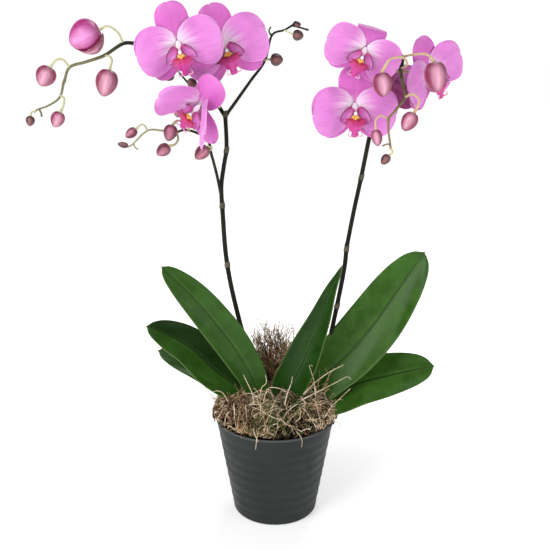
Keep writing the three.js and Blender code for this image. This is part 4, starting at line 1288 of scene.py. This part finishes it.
def tuft_twigs(seed, count, side_twigs, radii):
    dice = random.Random(seed)
    twigs = []
    for _ in range(count):
        lean, turn = dice.uniform(-0.62, 0.62), dice.gauss(0, 0.2)
        aim = Vector((math.sin(lean), math.sin(turn), math.cos(lean))).normalized()
        length = dice.uniform(52, 90) * MM * (1 - 0.3 * abs(lean))
        steps = round(length / (3 * MM))
        radius = dice.uniform(*radii) * MM
        place = TUFT_FOOT + Vector((dice.uniform(-5, 5), dice.uniform(-4, 4), dice.uniform(-6, 4))) * MM
        ahead = aim.copy()
        twig = []
        for i in range(steps + 1):
            twig.append((place.copy(), radius * (1 - 0.55 * i / steps)))
            jitter = Vector((dice.gauss(0, 0.34), dice.gauss(0, 0.26), dice.gauss(0, 0.25)))
            ahead = (0.55 * ahead + 0.45 * aim + jitter).normalized()
            if i > 2 and dice.random() < side_twigs:
                aside = Vector((dice.gauss(0, 1), dice.gauss(0, 0.6), dice.gauss(0.1, 0.6)))
                away = (ahead + aside).normalized()
                heading, climb = math.atan2(away.y, away.x), math.asin(away.z)
                reach = dice.uniform(4, 10) * MM
                twigs.append(sprig(dice, place, heading, climb, reach, radius * 0.6, 0.7))
            place += ahead * (length / steps)
        twigs.append(twig)
    return twigs


tuft_brown = moss_finish("tuft_brown", (0.06, 0.025, 0.011), (0.34, 0.18, 0.085), (0.66, 0.46, 0.26))
tuft_straw = moss_finish("tuft_straw", (0.24, 0.16, 0.07), (0.56, 0.44, 0.22), (0.72, 0.62, 0.36))
for name, look, twigs, nodes in (
    ("tuft_brown_twigs", tuft_brown, tuft_twigs(71, 140, 0.2, (0.42, 0.66)), ("moss_tuft",)),
    ("tuft_straw_twigs", tuft_straw, tuft_twigs(89, 75, 0.3, (0.34, 0.55)), ()),
):
    add_piece(name, strand_mesh(twigs, 0), [look], "moss_tuft", *nodes)

# ------------------------------
# The setting: a wide pale floor with a painted shadow round the pot, under a soft white studio, with a
# large key light from the upper left, a weaker one from the right, a small one from behind, and the camera.


def studio_floor():
    look = Finish("studio_floor", 0.8, Specular_IOR_Level=0.0)
    colour = look.mix(look.noise(30, 3), (0.80, 0.80, 0.80), (0.82, 0.82, 0.82))
    look.fill(look.shader.inputs["Emission Color"], (1.0, 1.0, 1.0))
    # The floor glows to stay white, and glows less near the pot: a painted shadow round its foot.
    from_middle = look.put("VectorMath", {0: look.spot()}, operation="LENGTH").outputs["Value"]
    look.fill(look.shader.inputs["Emission Strength"], look.span(from_middle, 0.07, 0.4, 0.45, 0.78))
    material = look.done(colour)
    bm = bmesh.new()
    bmesh.ops.create_grid(bm, x_segments=4, y_segments=4, size=40)
    mesh = bpy.data.meshes.new("studio_floor")
    bm.to_mesh(mesh)
    bm.free()
    mesh.materials.append(material)
    floor = bpy.data.objects.new("studio_floor", mesh)
    bpy.context.scene.collection.objects.link(floor)
    return floor


def panel_light(name, place, aim, width, height, watts):
    data = bpy.data.lights.new(name, "AREA")
    data.shape = "RECTANGLE"
    data.size, data.size_y = width, height
    data.energy = watts
    light = bpy.data.objects.new(name, data)
    light.location = place
    light.rotation_euler = (Vector(aim) - Vector(place)).to_track_quat("-Z", "Y").to_euler()
    bpy.context.scene.collection.objects.link(light)


def studio_world():
    """White near the horizon, so that the backdrop is white, and a soft grey overhead."""
    world = bpy.data.worlds.new("studio")
    world.use_nodes = True
    tree = world.node_tree
    direction = tree.nodes.new("ShaderNodeTexCoord").outputs["Generated"]
    parts = tree.nodes.new("ShaderNodeSeparateXYZ")
    tree.links.new(direction, parts.inputs[0])
    fade = tree.nodes.new("ShaderNodeMapRange")
    tree.links.new(parts.outputs[2], fade.inputs["Value"])
    for socket, value in (("From Min", 0.06), ("From Max", 0.18), ("To Min", 1.05), ("To Max", 0.28)):
        fade.inputs[socket].default_value = value
    background = tree.nodes["Background"]
    background.inputs["Color"].default_value = (1, 1, 1, 1)
    tree.links.new(fade.outputs["Result"], background.inputs["Strength"])
    return world


studio_floor()
PLANT_MIDDLE = (0, 0, 0.28)
panel_light("key_panel", (-0.95, -1.05, 1.25), PLANT_MIDDLE, 1.0, 1.0, 19)
panel_light("fill_panel", (1.3, -0.8, 0.8), PLANT_MIDDLE, 0.9, 1.0, 5)
panel_light("back_panel", (0.3, 1.0, 1.5), (0, 0, 0.3), 0.9, 0.6, 8)
bpy.context.scene.world = studio_world()
bpy.context.scene.view_settings.view_transform = "Standard"

CAMERA_FALL = math.radians(15.7)
camera_data = bpy.data.cameras.new("camera")
camera_data.lens = 52.36
camera_data.sensor_width = 36
camera = bpy.data.objects.new("camera", camera_data)
camera.location = (0, -0.810, 0.498)
camera.rotation_euler = (math.pi / 2 - CAMERA_FALL, 0, 0)
bpy.context.scene.collection.objects.link(camera)
bpy.context.scene.camera = camera
